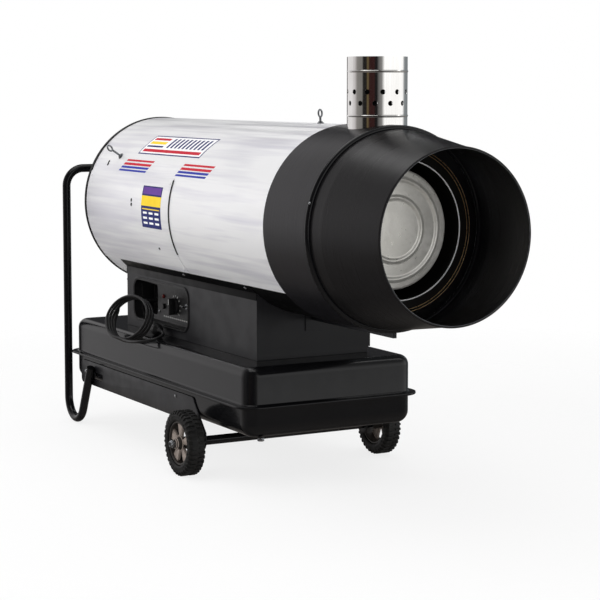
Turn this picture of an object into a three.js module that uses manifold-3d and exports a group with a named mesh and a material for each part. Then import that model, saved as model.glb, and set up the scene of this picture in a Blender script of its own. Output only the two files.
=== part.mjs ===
// Vented diesel jet heater: a bright drum on a burner box and a wheeled fuel tank.
// Millimetres, +Z up, +X toward the hot-air outlet, -Y the side with the controls.
// Places along X count from the rear edge of the drum; the last lines move the whole
// assembly so that the middle of its box stands on the origin.
import * as THREE from 'three';
import { mergeVertices } from 'three/addons/utils/BufferGeometryUtils.js';
import Module from 'manifold-3d';

const wasm = await Module();
wasm.setup();

// Clearances and overruns
const seat = 0.3;
const running = 2;
const overrun = 5;
const weldStep = 0.001;
const half = 0.5;
const fullTurn = 360;
const halfTurn = 180;

// Drum, collar and outlet
const drumRadius = 255;
const drumSheet = 1.2;
const drumHemRadius = 3.5;
const collarRear = 1147;
const collarOverlap = 40;
const beadPlace = 1387;
const beadRadius = 8;
const beadRingInset = 5.5;
const coneRearInset = 8;
const coneShoulder = 24;
const outletPlace = 1657;
const outletInset = 44;
const outletHemRadius = 3;

// Access cover on the drum
const coverRear = 14;
const coverFront = 607;
const coverTopAngle = 22;
const coverRailAngle = 7;
const coverLap = 26;

// Heat exchanger and radiation shield
const exchangerInset = 24;
const exchangerRear = 560;
const exchangerWall = 2;
const endFlange = 8;
const stripWidth = 10;
const stripSheet = 3;
const ribInsets = [72, 26];
const ribHalfWidth = 9;
const ribRise = 5;
const shieldInset = 34;
const shieldRear = 530;
const shieldFront = 1409;
const shieldSheet = 1.2;
const shieldRingInset = 2;
const shieldRingEdge = 3;

// Flue
const flueRadius = 75;
const flueWall = 1;
const flueRise = 168.5;
const fluePlace = 1298;
const flueBeadRise = 2.2;
const flueBeadHalf = 3.5;
const flueUpperBeadShare = 0.7864;
const flueLowerBeadShare = 0.1335;
const flueHoleRadius = 5;
const flueHoleRowShares = [0.4837, 0.3175];
const flueHoleCount = 10;
const spigotWall = 1.5;
const flueSpigotLap = 30;

// Fan, motor and burner
const guardWire = 2.2;
const guardRingStep = 44;
const guardRings = 5;
const guardBossRadius = 30;
const guardPlace = 12;
const guardSpokes = 6;
const fanPlace = 62;
const fanInset = 40;
const fanHubRadius = 42;
const fanHubLength = 34;
const fanBlades = 6;
const fanSheet = 2.5;
const fanPitchAngle = 32;
const bladeTwistAngle = 8;
const bladeRootShare = 0.8;
const bladeTipChordShare = 0.62;
const bladeCamberShare = 0.04;
const hubRoundShare = 0.7;
const motorRear = 98;
const motorLength = 150;
const motorRadius = 68;
const motorFinRise = 5;
const motorFins = 10;
const motorBellShare = 0.18;
const shaftRadius = 7;
const motorRingWidth = 12;
const motorArmWidth = 26;
const motorArmSheet = 3;
const pumpLength = 52;
const pumpSide = 74;
const pumpRoundShare = 0.3;
const burnerRadius = 62;
const burnerRear = 352;
const burnerWall = 1.5;
const burnerPlateSheet = 3;
const nozzleRadius = 9;
const lineRadius = 4;
const linePlace = 276;
const lineHoleShare = 4;

// Burner box under the drum; its rise is from the tank's top to the drum's lowest line
const boxRise = 116;
const boxRear = 121;
const boxFront = 972;
const boxHalfWidth = 170;
const boxSheet = 1.5;
const boxFoot = 14;
const studLength = 16;
const studRadius = 4.5;
const studPlace = -160;
const studDrop = 11;
const tabLength = 60;
const tabReach = 9;
const tabDrop = 12;
const tabRise = 25;
const bufferPlace = 128;
const bufferRise = 50;
const bufferRadius = 7;
const bufferReach = 5;
const railDrop = 20;
const railLeaf = 16;
const railSheet = 1.5;
const railScrewPlaces = [150, 557, 935];

// Control tray in the box side
const trayRear = 177;
const trayFront = 552;
const trayRise = 28;
const trayDrop = 12.4;
const trayCorner = 30;
const trayDepth = 26;
const traySheet = 2;
const trayLip = 6;
const pocketFront = 288;
const pocketInsetLow = 18;
const pocketInsetHigh = 12;
const pocketDepth = 64;
const pocketCornerShare = 0.4;
const knobPlace = 411;
const knobAboveTray = 56;
const knobRadius = 25;
const knobSkirt = 6;
const knobGripWidth = 13;
const knobGripRise = 17;
const knobTaperShare = 0.9;
const knobGripRoundShare = 0.4;
const togglePlace = 497;
const toggleAboveTray = 64;
const toggleBushRadius = 8;
const toggleBushLength = 7;
const toggleLeverRadius = 3;
const toggleLeverLength = 18;
const leverRootShare = 0.7;
const leverSwellShare = 0.8;
const buttonPlace = 331;
const buttonAboveTray = 48;
const buttonRadius = 8;
const buttonRise = 6;
const lampAboveTray = 78;
const lampRadius = 6;
const lampRoundShare = 0.8;

// Supply lead: its points are chosen by hand, its coil is a formula
const leadRadius = 4.25;
const leadSides = 8;
const glandPlace = 232;
const glandAboveTray = 55;
const glandRadius = 11;
const glandLength = 16;
const plugRear = [440, -203];
const plugTurnAngle = 172;
const plugRadius = 18;
const plugLength = 40;
const plugRelief = 26;
const reliefShares = [1.2, 1.8];
const plugNeckShare = 0.9;
const plugPinRadius = 2.4;
const plugPinLength = 19;
const plugPinSpacing = 19;
const coilPlace = [318, -249];
const coilRise = 45;
const coilHalfLength = 101;
const coilHalfHeight = 66;
const coilTurns = 3.25;
const coilYawAngle = 8;
const coilLeanAngle = 25;
const coilPitch = 10;
const coilSteps = 24;
const coilSides = 6;
const coilStartAngle = 180;

// Fuel tank
const tankRear = -107;
const tankFront = 1080;
const tankHalfWidth = 252;
const tankFlangeReach = 21;
const tankFlangeSheet = 3;
const tankSheet = 1.5;
const tankSeam = 219;
const tankTop = 322;
const tankBottom = 136;
const tankCorner = 40;
const tankTopRound = 26;
const tankBottomRound = 34;
const fillerPlace = 420;
const fillerInset = 52;
const fillerRadius = 22;
const fillerWall = 2;
const fillerRise = 18;
const capRadius = 26;
const capHeight = 20;
const capSkirt = 2.5;
const drainFrontInset = 20;
const drainInset = 47;
const drainRadius = 9;
const drainThreadShare = 0.7;
const transformerPlace = [600, 720];
const transformerHalfWidth = 60;
const transformerRise = 80;

// Wheels, axle and brackets
const wheelRadius = 89;
const wheelWidth = 48;
const wheelReach = 78;
const wheelPlace = 811;
const rimRadius = 60;
const rimHubRadius = 17;
const rimHubReach = 6;
const rimHubTaperShare = 0.75;
const rimSpokes = 5;
const spokeRootShare = 0.45;
const spokeTipShare = 0.36;
const spokeStartShare = 0.8;
const rimWall = 6;
const spokeSheet = 9;
const treadRise = 6;
const treadLugs = 12;
const lugWidthShare = 0.31;
const lugMiddleShare = 0.4;
const shoulderShare = 0.3;
const tyreShoulder = 9;
const axleRadius = 12.5;
const axlePinRadius = 8;
const hubNutRadius = 11.5;
const hubNutLength = 14;
const hubNutFlatShare = 0.6;
const bracketSheet = 3;
const bracketRear = -46;
const bracketPlateFront = 689;
const bracketUnderSeam = 19;
const bracketBelowTank = 7;
const bracketScrewPlace = 647;
const bracketScrewInset = 13;
const bracketWindowRear = 56;
const bracketWindowFront = 124;
const bracketWindowRise = 12;
const bracketWindowDrop = 31;
const bracketThroatAngle = 200;
const bracketCorner = 14;
const bracketThroat = 40;
const bracketTabReach = 62;
const bracketTabRound = 18;

// Handle: one bent tube that is also the rear leg
const handleRadius = 12.5;
const handleRear = -122;
const handleHeight = 790;
const handleTopBend = 55;
const handleFootBend = 62;
const handleLeanAngle = 25;

// Support bar and eye bolts
const barHalfWidth = 5;
const barFront = 1386;
const barDrop = 13;
const barFootHalfWidth = 24;
const barFootDrop = 42;
const barFootSheet = 3;
const eyeWire = 3;
const eyeRadius = 9;
const eyeShank = 34;
const eyeNutRadius = 6;
const eyeThinShare = 0.8;
const eyePlaces = [
  { name: 'eye_bolt_rear', along: 175, angle: 34.4 },
  { name: 'eye_bolt_front', along: 1027, angle: 88 },
];
const screwRadius = 5;
const screwRise = 3;
const screwSink = 0.8;

const paint = { color: 0x1b1b1d, roughness: 0.45, metalness: 0.2 };
const steel = { color: 0xd7dade, roughness: 0.3, metalness: 0.9 };
const zinc = { color: 0xb9bcc0, roughness: 0.35, metalness: 0.9 };
const stainless = { color: 0xe4e4e2, roughness: 0.12, metalness: 1 };
const heatSteel = { color: 0xb8b6ae, roughness: 0.4, metalness: 0.8 };
const rubber = { color: 0x141414, roughness: 0.85, metalness: 0 };
const plastic = { color: 0x101012, roughness: 0.4, metalness: 0 };
const brass = { color: 0xb08d4a, roughness: 0.35, metalness: 0.9 };
const copper = { color: 0xb06a45, roughness: 0.35, metalness: 0.9 };
const lampRed = { color: 0xa02018, roughness: 0.3, metalness: 0 };
const aluminium = { color: 0xa9acb0, roughness: 0.45, metalness: 0.8 };

const heater = new THREE.Group();

// Heights that follow from the tank, the box on it and the drum on the box
const drumAxisHeight = tankTop + boxRise + drumRadius;
const collarInner = drumRadius + seat;
const collarOuter = collarInner + drumSheet;
const collarTop = drumAxisHeight + collarOuter;
const flueTop = collarTop + flueRise;
const flueHeight = (share) => collarTop + flueRise * share;
const railInner = boxHalfWidth + seat;
const railCircle = drumRadius + seat + seat;
const railTop = drumAxisHeight - Math.sqrt(railCircle ** 2 - railInner ** 2);
const railStart = THREE.MathUtils.radToDeg(Math.acos(railInner / railCircle));
const coverLowAngle = Math.round(coverRailAngle - railStart);
const trayLow = tankTop + trayRise;
const trayHigh = railTop - railDrop - trayDrop;
const bracketTop = tankSeam - bracketUnderSeam;
const bracketLow = tankBottom - bracketBelowTank;
const handleEndHeight = bracketTop - bracketScrewInset;
const fillerSide = tankHalfWidth - fillerInset;
const drainPlace = tankFront - drainFrontInset;
const drainSide = drainInset - tankHalfWidth;
const wheelOuterFace = tankHalfWidth + wheelReach;

// Rings that follow from the drum, one inside the other
const beadRingRadius = drumRadius - beadRingInset;
const coneRearRadius = drumRadius - coneRearInset;
const outletRadius = drumRadius - outletInset;
const shieldRingRadius = outletRadius - shieldRingInset;
const shieldRadius = shieldRingRadius - shieldInset;
const exchangerRadius = shieldRadius - exchangerInset;
const fanRadius = drumRadius - fanInset;

// Geometry helpers

// Corners merged, flat triangles dropped, faces turned outward.
function clean(geometry) {
  const bare = geometry.clone();
  bare.deleteAttribute('normal');
  bare.deleteAttribute('uv');
  const merged = mergeVertices(bare, weldStep);
  const corners = merged.attributes.position;
  const old = merged.index.array;
  const kept = [];
  const [a, b, c] = [new THREE.Vector3(), new THREE.Vector3(), new THREE.Vector3()];
  let volume = 0;
  for (let i = 0; i < old.length; i += 3) {
    const [p, q, r] = [old[i], old[i + 1], old[i + 2]];
    if (p === q || q === r || r === p) continue;
    kept.push(p, q, r);
    a.fromBufferAttribute(corners, p);
    b.fromBufferAttribute(corners, q);
    c.fromBufferAttribute(corners, r);
    volume += a.dot(b.cross(c));
  }
  if (volume < 0) kept.reverse();
  merged.setIndex(kept);
  return merged;
}

function toSolid(geometry) {
  const closed = clean(geometry);
  return new wasm.Manifold(new wasm.Mesh({
    numProp: 3,
    vertProperties: Float32Array.from(closed.attributes.position.array),
    triVerts: Uint32Array.from(closed.index.array),
  }));
}

function toGeometry(solid) {
  const mesh = solid.getMesh();
  const geometry = new THREE.BufferGeometry();
  geometry.setAttribute('position', new THREE.BufferAttribute(Float32Array.from(mesh.vertProperties), 3));
  geometry.setIndex(Array.from(mesh.triVerts));
  return geometry;
}

function unite(...shapes) {
  return toGeometry(shapes.map(toSolid).reduce((all, one) => all.add(one)));
}

function cut(shape, ...tools) {
  return toGeometry(tools.map(toSolid).reduce((left, tool) => left.subtract(tool), toSolid(shape)));
}

function part(name, geometry, finish) {
  const mesh = new THREE.Mesh(clean(geometry), new THREE.MeshStandardMaterial(finish));
  mesh.name = name;
  heater.add(mesh);
  return mesh;
}

function block(x, y, z) {
  const size = [x, y, z].map(([from, to]) => to - from);
  const middle = [x, y, z].map(([from, to]) => (from + to) * half);
  return new THREE.BoxGeometry(...size).translate(...middle);
}

const acrossY = new THREE.Matrix4().makeRotationX(Math.PI / 2);
const alongX = new THREE.Matrix4().makeBasis(
  new THREE.Vector3(0, 1, 0), new THREE.Vector3(0, 0, 1), new THREE.Vector3(1, 0, 0));

function extrude(points, depth) {
  const shape = new THREE.Shape(points.map(([x, y]) => new THREE.Vector2(x, y)));
  return new THREE.ExtrudeGeometry(shape, { depth, bevelEnabled: false });
}

// Outlines drawn in X and Z and thickened along Y, or drawn in Y and Z and thickened along X.
function slabY(points, [from, to]) {
  return extrude(points, to - from).applyMatrix4(acrossY).translate(0, to, 0);
}

function slabX(points, [from, to]) {
  return extrude(points, to - from).applyMatrix4(alongX).translate(from, 0, 0);
}

function arc([x, y], radius, from, to, steps) {
  return Array.from({ length: steps + 1 }, (_, i) => {
    const angle = THREE.MathUtils.degToRad(from + ((to - from) * i) / steps);
    return [x + radius * Math.cos(angle), y + radius * Math.sin(angle)];
  });
}

function roundedRectangle([x0, x1], [y0, y1], radius, steps) {
  return [
    ...arc([x1 - radius, y0 + radius], radius, -90, 0, steps),
    ...arc([x1 - radius, y1 - radius], radius, 0, 90, steps),
    ...arc([x0 + radius, y1 - radius], radius, 90, 180, steps),
    ...arc([x0 + radius, y0 + radius], radius, 180, 270, steps),
  ];
}

// A profile of [place along, radius] pairs turned round the X, Y or Z axis.
function turn(profile, sides) {
  const points = profile.map(([along, radius]) => new THREE.Vector2(radius, along));
  return new THREE.LatheGeometry(points, sides);
}

function turnX(profile, sides) {
  return turn(profile, sides).rotateZ(-Math.PI / 2);
}

function turnZ(profile, sides) {
  return turn(profile, sides).rotateX(Math.PI / 2);
}

function loop(profile) {
  return [...profile, profile[0]];
}

// An open-ended sleeve between two radii.
function sleeve([from, to], inner, outer) {
  return loop([[from, inner], [to, inner], [to, outer], [from, outer]]);
}

function rod([from, to], radius) {
  return [[from, 0], [from, radius], [to, radius], [to, 0]];
}

function at(geometry, [x, y, z]) {
  return geometry.translate(x, y, z);
}

const onDrumAxis = (geometry) => at(geometry, [0, 0, drumAxisHeight]);

// Rings of equal length joined side by side, with a flat fan on the first and the last.
function loft(rings) {
  const count = rings[0].length;
  const places = rings.flat(2);
  const faces = [];
  for (let r = 0; r + 1 < rings.length; r++) {
    for (let i = 0; i < count; i++) {
      const j = (i + 1) % count;
      const [a, b, c, d] = [r * count + i, r * count + j, (r + 1) * count + j, (r + 1) * count + i];
      faces.push(a, b, c, a, c, d);
    }
  }
  const last = (rings.length - 1) * count;
  for (let i = 1; i + 1 < count; i++) {
    faces.push(0, i + 1, i);
    faces.push(last, last + i, last + i + 1);
  }
  const geometry = new THREE.BufferGeometry();
  geometry.setAttribute('position', new THREE.Float32BufferAttribute(places, 3));
  geometry.setIndex(faces);
  return geometry;
}

// A round bar along a line with rounded corners. Its steps lie in the bends, so that
// straight runs stay plain.
class BentLine extends THREE.Curve {
  constructor(corners, radii, bendSteps) {
    super();
    const points = corners.map((corner) => new THREE.Vector3(...corner));
    this.stations = [];
    const last = points.length - 1;
    points.forEach((corner, i) => {
      if (i === 0 || i === last) {
        const [from, to] = i === 0 ? [corner, points[1]] : [points[last - 1], corner];
        this.stations.push({ place: corner.clone(), way: to.clone().sub(from).normalize() });
        return;
      }
      const arriving = corner.clone().sub(points[i - 1]).normalize();
      const leaving = points[i + 1].clone().sub(corner).normalize();
      const swing = arriving.angleTo(leaving);
      const start = corner.clone().addScaledVector(arriving, -radii[i - 1] * Math.tan(swing / 2));
      const inward = leaving.clone().addScaledVector(arriving, -leaving.dot(arriving)).normalize();
      for (let s = 0; s <= bendSteps[i - 1]; s++) {
        const angle = (swing * s) / bendSteps[i - 1];
        const place = start.clone()
          .addScaledVector(arriving, radii[i - 1] * Math.sin(angle))
          .addScaledVector(inward, radii[i - 1] * (1 - Math.cos(angle)));
        const way = arriving.clone().multiplyScalar(Math.cos(angle))
          .addScaledVector(inward, Math.sin(angle));
        this.stations.push({ place, way });
      }
    });
    this.steps = this.stations.length - 1;
  }

  station(u) {
    return this.stations[Math.round(u * this.steps)];
  }

  getPointAt(u, target = new THREE.Vector3()) {
    return target.copy(this.station(u).place);
  }

  getTangentAt(u, target = new THREE.Vector3()) {
    return target.copy(this.station(u).way);
  }
}

function disc(radius, sides) {
  return arc([0, 0], radius, 0, fullTurn - fullTurn / sides, sides - 1);
}

function sweep(outline, line, steps) {
  const shape = new THREE.Shape(outline.map(([x, y]) => new THREE.Vector2(x, y)));
  return new THREE.ExtrudeGeometry(shape, { steps, extrudePath: line, bevelEnabled: false });
}

function bentBar(corners, radii, bendSteps, radius, sides) {
  const line = new BentLine(corners, radii, bendSteps);
  return sweep(disc(radius, sides), line, line.steps);
}

// Shared sides, so that faces round one axis stay parallel
const drumSides = 36;
const flueSides = 20;
const smallSides = 12;
const screwSides = 6;
const circumscribed = (radius, sides) => radius / Math.cos(Math.PI / sides);
const drumInner = drumRadius - drumSheet;

// An outline in Y and Z between two radii and two angles of the drum.
function drumSector([low, high], [inner, outer], steps) {
  const turned = [halfTurn - high, halfTurn - low];
  return [
    ...arc([0, drumAxisHeight], outer, turned[0], turned[1], steps),
    ...arc([0, drumAxisHeight], inner, turned[1], turned[0], steps),
  ];
}

// Screw heads, joined to the piece that they hold
const screwHead = turnZ([
  [-screwSink, 0],
  [-screwSink, screwRadius],
  [screwRise * half, screwRadius],
  [screwRise, screwRadius * half],
  [screwRise, 0],
], screwSides);
const facingControls = ([place, height], face) => at(
  screwHead.clone().rotateX(Math.PI / 2), [place, face, height]);

// Drum shell with a rolled rear edge, a hand opening on the control side and a line hole below
const drumFront = collarRear + collarOverlap;
const hemStart = THREE.MathUtils.radToDeg(Math.asin((drumHemRadius - drumSheet) / drumHemRadius));
const drumProfile = loop([
  [drumFront, drumInner],
  ...arc([drumHemRadius, drumRadius - drumHemRadius], drumHemRadius, hemStart, -270, 4),
  [drumFront, drumRadius],
]);
const accessHole = slabX(
  drumSector([coverLowAngle + coverLapAngle(), coverTopAngle - coverLapAngle()],
    [drumInner - overrun, drumRadius + overrun], 7),
  [coverRear + coverLap, coverFront - coverLap]);
const lineHole = at(turnZ(rod([0, drumAxisHeight], lineRadius * lineHoleShare), smallSides), [linePlace, 0, 0]);
part('drum_shell', cut(onDrumAxis(turnX(drumProfile, drumSides)), accessHole, lineHole), steel);

function coverLapAngle() {
  return THREE.MathUtils.radToDeg(coverLap / drumRadius);
}

// Access cover, a curved sheet over the hand opening
const coverInner = drumRadius + seat + seat;
const coverEdges = [coverTopAngle - coverLapAngle() * half, coverLowAngle + coverLapAngle() * half];
const coverScrew = at(screwHead.clone(), [0, 0, coverInner + drumSheet - screwSink * half]);
const coverScrews = [coverRear + coverLap * half, coverFront - coverLap * half].flatMap((along) => (
  coverEdges.map((angle) => at(onDrumAxis(
    coverScrew.clone().rotateX(THREE.MathUtils.degToRad(90 - angle))), [along, 0, 0]))));
part('access_cover', unite(slabX(
  drumSector([coverLowAngle, coverTopAngle], [coverInner, coverInner + drumSheet], 9),
  [coverRear, coverFront]), ...coverScrews), steel);

// Front collar with the flue hole
const spigotOuter = flueRadius - flueWall - seat;
const flueHole = at(
  turnZ(rod([drumAxisHeight, flueTop], spigotOuter + seat), flueSides), [fluePlace, 0, 0]);
const beadSides = 6;
const beadSlant = Math.PI / beadSides;
const beadStep = beadRingRadius + beadRadius - collarInner;
const collarFront = beadPlace - (seat + beadStep * Math.cos(beadSlant)) / Math.sin(beadSlant);
part('front_collar', cut(
  onDrumAxis(turnX(sleeve([collarRear, collarFront], collarInner, collarOuter), drumSides)),
  flueHole), paint);

// Rolled bead between the collar and the outlet, with a flat of its section to the outlet
const beadTurn = halfTurn / beadSides;
const beadRound = arc([beadPlace, beadRingRadius], beadRadius, beadTurn, fullTurn - beadTurn, beadSides - 1);
part('joint_bead', onDrumAxis(turnX(loop(beadRound), drumSides)), paint);

// Outlet cone with a rounded shoulder and a rolled front edge
const coneRear = beadPlace + beadRadius * Math.cos(beadSlant) + seat;
const coneFront = outletPlace - outletHemRadius;
const coneSlope = (coneRearRadius - outletRadius) / (coneFront - coneRear - coneShoulder * half);
const coneOuter = [
  [coneRear, coneRearRadius],
  [coneRear + coneShoulder * half, coneRearRadius],
  [coneRear + coneShoulder + coneShoulder, coneRearRadius - coneSlope * coneShoulder],
  [coneFront, outletRadius],
];
const outletHem = arc([coneFront, outletRadius], outletHemRadius, 90, -180, 3);
part('outlet_cone', onDrumAxis(turnX(loop([
  ...coneOuter,
  ...outletHem,
  ...coneOuter.slice(0, -1).reverse().map(([along, radius]) => [along, radius - drumSheet]),
]), drumSides)), paint);

// Strips welded on one sleeve that carry it inside the next, three to a row
const exchangerSides = 24;
const sleeveFlats = Math.cos(Math.PI / exchangerSides);
const drumFlats = Math.cos(Math.PI / drumSides);
const stripRows = [exchangerRear + exchangerRadius, collarRear - exchangerRadius];
function strips(root, outer) {
  const reach = Math.sqrt((outer - seat) ** 2 - stripWidth ** 2);
  return stripRows.flatMap((along) => [60, 180, 300].map((turned) => onDrumAxis(
    block([along, along + stripSheet], [-stripWidth, stripWidth], [root, reach])
      .rotateX(THREE.MathUtils.degToRad(turned)))));
}

// Heat exchanger: drum, pressed end with two ribs, spigot into the flue
const shieldInner = shieldRadius - shieldSheet;
const endPlace = beadPlace - beadRadius + exchangerWall;
const bodyFront = endPlace - endFlange - seat;
const burnerHole = burnerRadius + seat;
const bodyProfile = loop([
  [exchangerRear, burnerHole],
  [exchangerRear, exchangerRadius],
  [bodyFront, exchangerRadius],
  [bodyFront, exchangerRadius - exchangerWall],
  [exchangerRear + exchangerWall, exchangerRadius - exchangerWall],
  [exchangerRear + exchangerWall, burnerHole],
]);
const spigotBore = at(turnZ(rod([drumAxisHeight, flueTop], spigotOuter - spigotWall), flueSides),
  [fluePlace, 0, 0]);
const exchangerFeet = strips(exchangerRadius * sleeveFlats - exchangerWall * half, shieldInner * sleeveFlats);
part('exchanger_body', cut(
  unite(onDrumAxis(turnX(bodyProfile, exchangerSides)), ...exchangerFeet), spigotBore), heatSteel);

const ribShares = [[-1, 0], [-0.5, 1], [0.5, 1], [1, 0]];
const endFace = [
  [endPlace, 0],
  ...ribInsets.map((inset) => exchangerRadius - inset).flatMap((radius) => ribShares.map(
    ([out, up]) => [endPlace + up * ribRise, radius + out * ribHalfWidth])),
  [endPlace, exchangerRadius - endFlange * half],
  [endPlace - endFlange * half, exchangerRadius],
  [endPlace - endFlange, exchangerRadius],
];
const endBack = [
  [endPlace - endFlange, exchangerRadius - exchangerWall],
  [endPlace - exchangerWall, exchangerRadius - exchangerWall - endFlange * half],
  [endPlace - exchangerWall, 0],
];
part('exchanger_end', onDrumAxis(turnX([...endFace, ...endBack], exchangerSides)), heatSteel);

const spigotTube = at(turnZ(
  sleeve([drumAxisHeight + exchangerRadius * half, collarTop + flueSpigotLap],
    spigotOuter - spigotWall, spigotOuter), flueSides), [fluePlace, 0, 0]);
const exchangerClearance = onDrumAxis(turnX(
  rod([exchangerRear, endPlace + overrun], circumscribed(exchangerRadius + seat, exchangerSides)),
  exchangerSides));
part('flue_spigot', cut(spigotTube, exchangerClearance), heatSteel);

// Radiation shield round the exchanger, with the ring that shows in the outlet
const shieldFeet = strips(shieldRadius * sleeveFlats - shieldSheet * half, drumInner * drumFlats);
part('shield_tube', cut(unite(
  onDrumAxis(turnX(sleeve([shieldRear, shieldFront], shieldInner, shieldRadius), exchangerSides)),
  ...shieldFeet), flueHole), steel);
const ringInner = shieldRadius + circumscribed(seat, exchangerSides);
const ringPlace = shieldFront - shieldRingEdge - shieldRingEdge;
part('shield_ring', onDrumAxis(turnX(loop([
  [ringPlace, ringInner],
  ...arc([ringPlace, shieldRingRadius - shieldRingEdge], shieldRingEdge, -120, 150, 4),
  [ringPlace - shieldSheet, ringInner],
]), exchangerSides)), heatSteel);

// Flue pipe: thin stainless tube with pressed beads and two staggered rows of air holes
function flueBead(height) {
  return [
    [height - flueBeadHalf, flueRadius],
    [height, flueRadius + flueBeadRise],
    [height + flueBeadHalf, flueRadius],
  ];
}
const flueFoot = drumAxisHeight + collarOuter * half;
const flueOuterLine = [
  [flueFoot, flueRadius],
  ...flueBead(flueHeight(flueLowerBeadShare) - flueBeadHalf),
  ...flueBead(flueHeight(flueLowerBeadShare) + flueBeadHalf + seat),
  ...flueBead(flueHeight(flueUpperBeadShare)),
  [flueTop, flueRadius],
];
const flueInnerLine = [[flueTop, flueRadius - flueWall], [flueFoot, flueRadius - flueWall]];
const collarClearance = onDrumAxis(turnX(
  rod([collarRear, collarFront + overrun], circumscribed(collarOuter + seat, drumSides)), drumSides));
const flueHoles = flueHoleRowShares.flatMap((share, row) => Array.from({ length: flueHoleCount }, (_, i) => {
  const angle = (fullTurn * (i + row * half)) / flueHoleCount;
  return at(
    turnX(rod([flueRadius * half, flueRadius + overrun], flueHoleRadius), 6)
      .rotateZ(THREE.MathUtils.degToRad(angle)), [0, 0, flueHeight(share)]);
}));
part('flue_pipe', at(
  cut(turnZ(loop([...flueOuterLine, ...flueInnerLine]), flueSides),
    at(collarClearance, [-fluePlace, 0, 0]), ...flueHoles),
  [fluePlace, 0, 0]), stainless);

// Rear guard: wire rings, crossing wires and a middle plate
const guardSides = drumSides / 2;
const guardOuter = drumInner - circumscribed(seat, drumSides) - guardWire;
const guardReach = guardOuter * Math.cos(Math.PI / guardSides);
const guardCross = guardPlace + guardWire;
const guardRingList = Array.from({ length: guardRings }, (_, i) => onDrumAxis(turnX(
  loop(arc([guardPlace, guardOuter - i * guardRingStep], guardWire, 0, 270, 3)), guardSides)));
const guardBars = Array.from({ length: guardSpokes }, (_, i) => onDrumAxis(
  at(turnZ(rod([0, guardReach], guardWire), 4), [guardCross, 0, 0])
    .rotateX((2 * Math.PI * (i + half)) / guardSpokes)));
const guardPlate = onDrumAxis(turnX(
  rod([guardPlace - guardWire, guardCross + guardWire], guardBossRadius), smallSides));
part('fan_guard', unite(...guardRingList, ...guardBars, guardPlate), zinc);

// Fan: hub and twisted blades, each lofted through cambered sections
const bladeStations = 3;
const bladeShares = [-1, -0.4, 0.4, 1];
function bladeSection(share) {
  const root = fanHubRadius * bladeRootShare;
  const radius = root + share * (fanRadius - root);
  const chord = root + share * (fanRadius * bladeTipChordShare - root);
  const pitch = THREE.MathUtils.degToRad(fanPitchAngle + bladeTwistAngle * (half - share));
  const back = bladeShares.map((s) => [s * chord * half, (1 - s * s) * chord * bladeCamberShare]);
  const face = [...back].reverse().map(([s, rise]) => [s, rise - fanSheet]);
  return [...back, ...face].map(([s, rise]) => [
    s * Math.sin(pitch) + rise * Math.cos(pitch),
    s * Math.cos(pitch) - rise * Math.sin(pitch),
    radius,
  ]);
}
const blade = loft(Array.from({ length: bladeStations }, (_, i) => bladeSection(i / (bladeStations - 1))));
const blades = Array.from({ length: fanBlades }, (_, i) => (
  blade.clone().rotateX((2 * Math.PI * i) / fanBlades)));
const fanHub = turnX([
  [-fanHubLength * half, 0],
  [-fanHubLength * half, fanHubRadius * hubRoundShare],
  [-fanHubLength * half * hubRoundShare, fanHubRadius],
  [fanHubLength * half, fanHubRadius],
  [fanHubLength * half, shaftRadius + seat],
  [0, shaftRadius + seat],
  [0, 0],
], smallSides);
part('fan', at(onDrumAxis(unite(fanHub, ...blades)), [fanPlace, 0, 0]), aluminium);

// Motor shaft, carried in the motor and turning with the fan
const motorFront = motorRear + motorLength;
const shaftFront = motorFront + pumpLength * half;
part('motor_shaft', onDrumAxis(turnX(
  rod([fanPlace + seat, shaftFront - seat], shaftRadius), smallSides)), zinc);

// Motor with cooling fins and a bore for its shaft
const motorBell = motorRadius * motorBellShare;
const shaftBore = circumscribed(shaftRadius + seat, smallSides);
const motorSides = 20;
const motorBody = turnX(loop([
  [motorRear, shaftBore],
  [motorRear, motorRadius - motorBell],
  [motorRear + motorBell, motorRadius],
  [motorFront - motorBell, motorRadius],
  [motorFront, motorRadius - motorBell],
  [motorFront, shaftBore],
]), motorSides);
const fins = Array.from({ length: motorFins }, (_, i) => (
  block([motorRear + motorBell, motorFront - motorBell], [-fanSheet * half, fanSheet * half],
    [motorRadius - motorFinRise, motorRadius + motorFinRise]).rotateX((2 * Math.PI * i) / motorFins)));
part('motor', onDrumAxis(unite(motorBody, ...fins)), aluminium);

// Motor bracket: a ring round the motor and four arms out to the drum
const motorMiddle = motorRear + motorLength * half;
const motorRingInner = circumscribed(motorRadius + motorFinRise + seat, motorSides);
const motorRing = turnX(
  sleeve([motorMiddle - motorArmWidth * half, motorMiddle + motorArmWidth * half],
    motorRingInner, motorRingInner + motorRingWidth), motorSides);
const armReach = Math.sqrt((drumInner * drumFlats - seat) ** 2 - motorArmSheet ** 2);
const arms = [45, 135, 225, 315].map((angle) => (
  block([motorMiddle - motorArmWidth * half, motorMiddle + motorArmWidth * half],
    [-motorArmSheet * half, motorArmSheet * half], [motorRingInner + motorRingWidth * half, armReach])
    .rotateX(THREE.MathUtils.degToRad(angle))));
part('motor_bracket', onDrumAxis(unite(motorRing, ...arms)), paint);

// Fuel pump on the front of the motor
const pumpRear = motorFront + seat;
const pumpFront = pumpRear + pumpLength;
const pumpHalf = pumpSide * half;
const pumpBody = slabX(
  roundedRectangle([-pumpHalf, pumpHalf], [-pumpHalf, pumpHalf], pumpHalf * pumpRoundShare, 3),
  [pumpRear, pumpFront]);
const pumpBore = turnX(rod([pumpRear - overrun, shaftFront], shaftBore), smallSides);
part('fuel_pump', onDrumAxis(cut(pumpBody, pumpBore)), brass);

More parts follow.
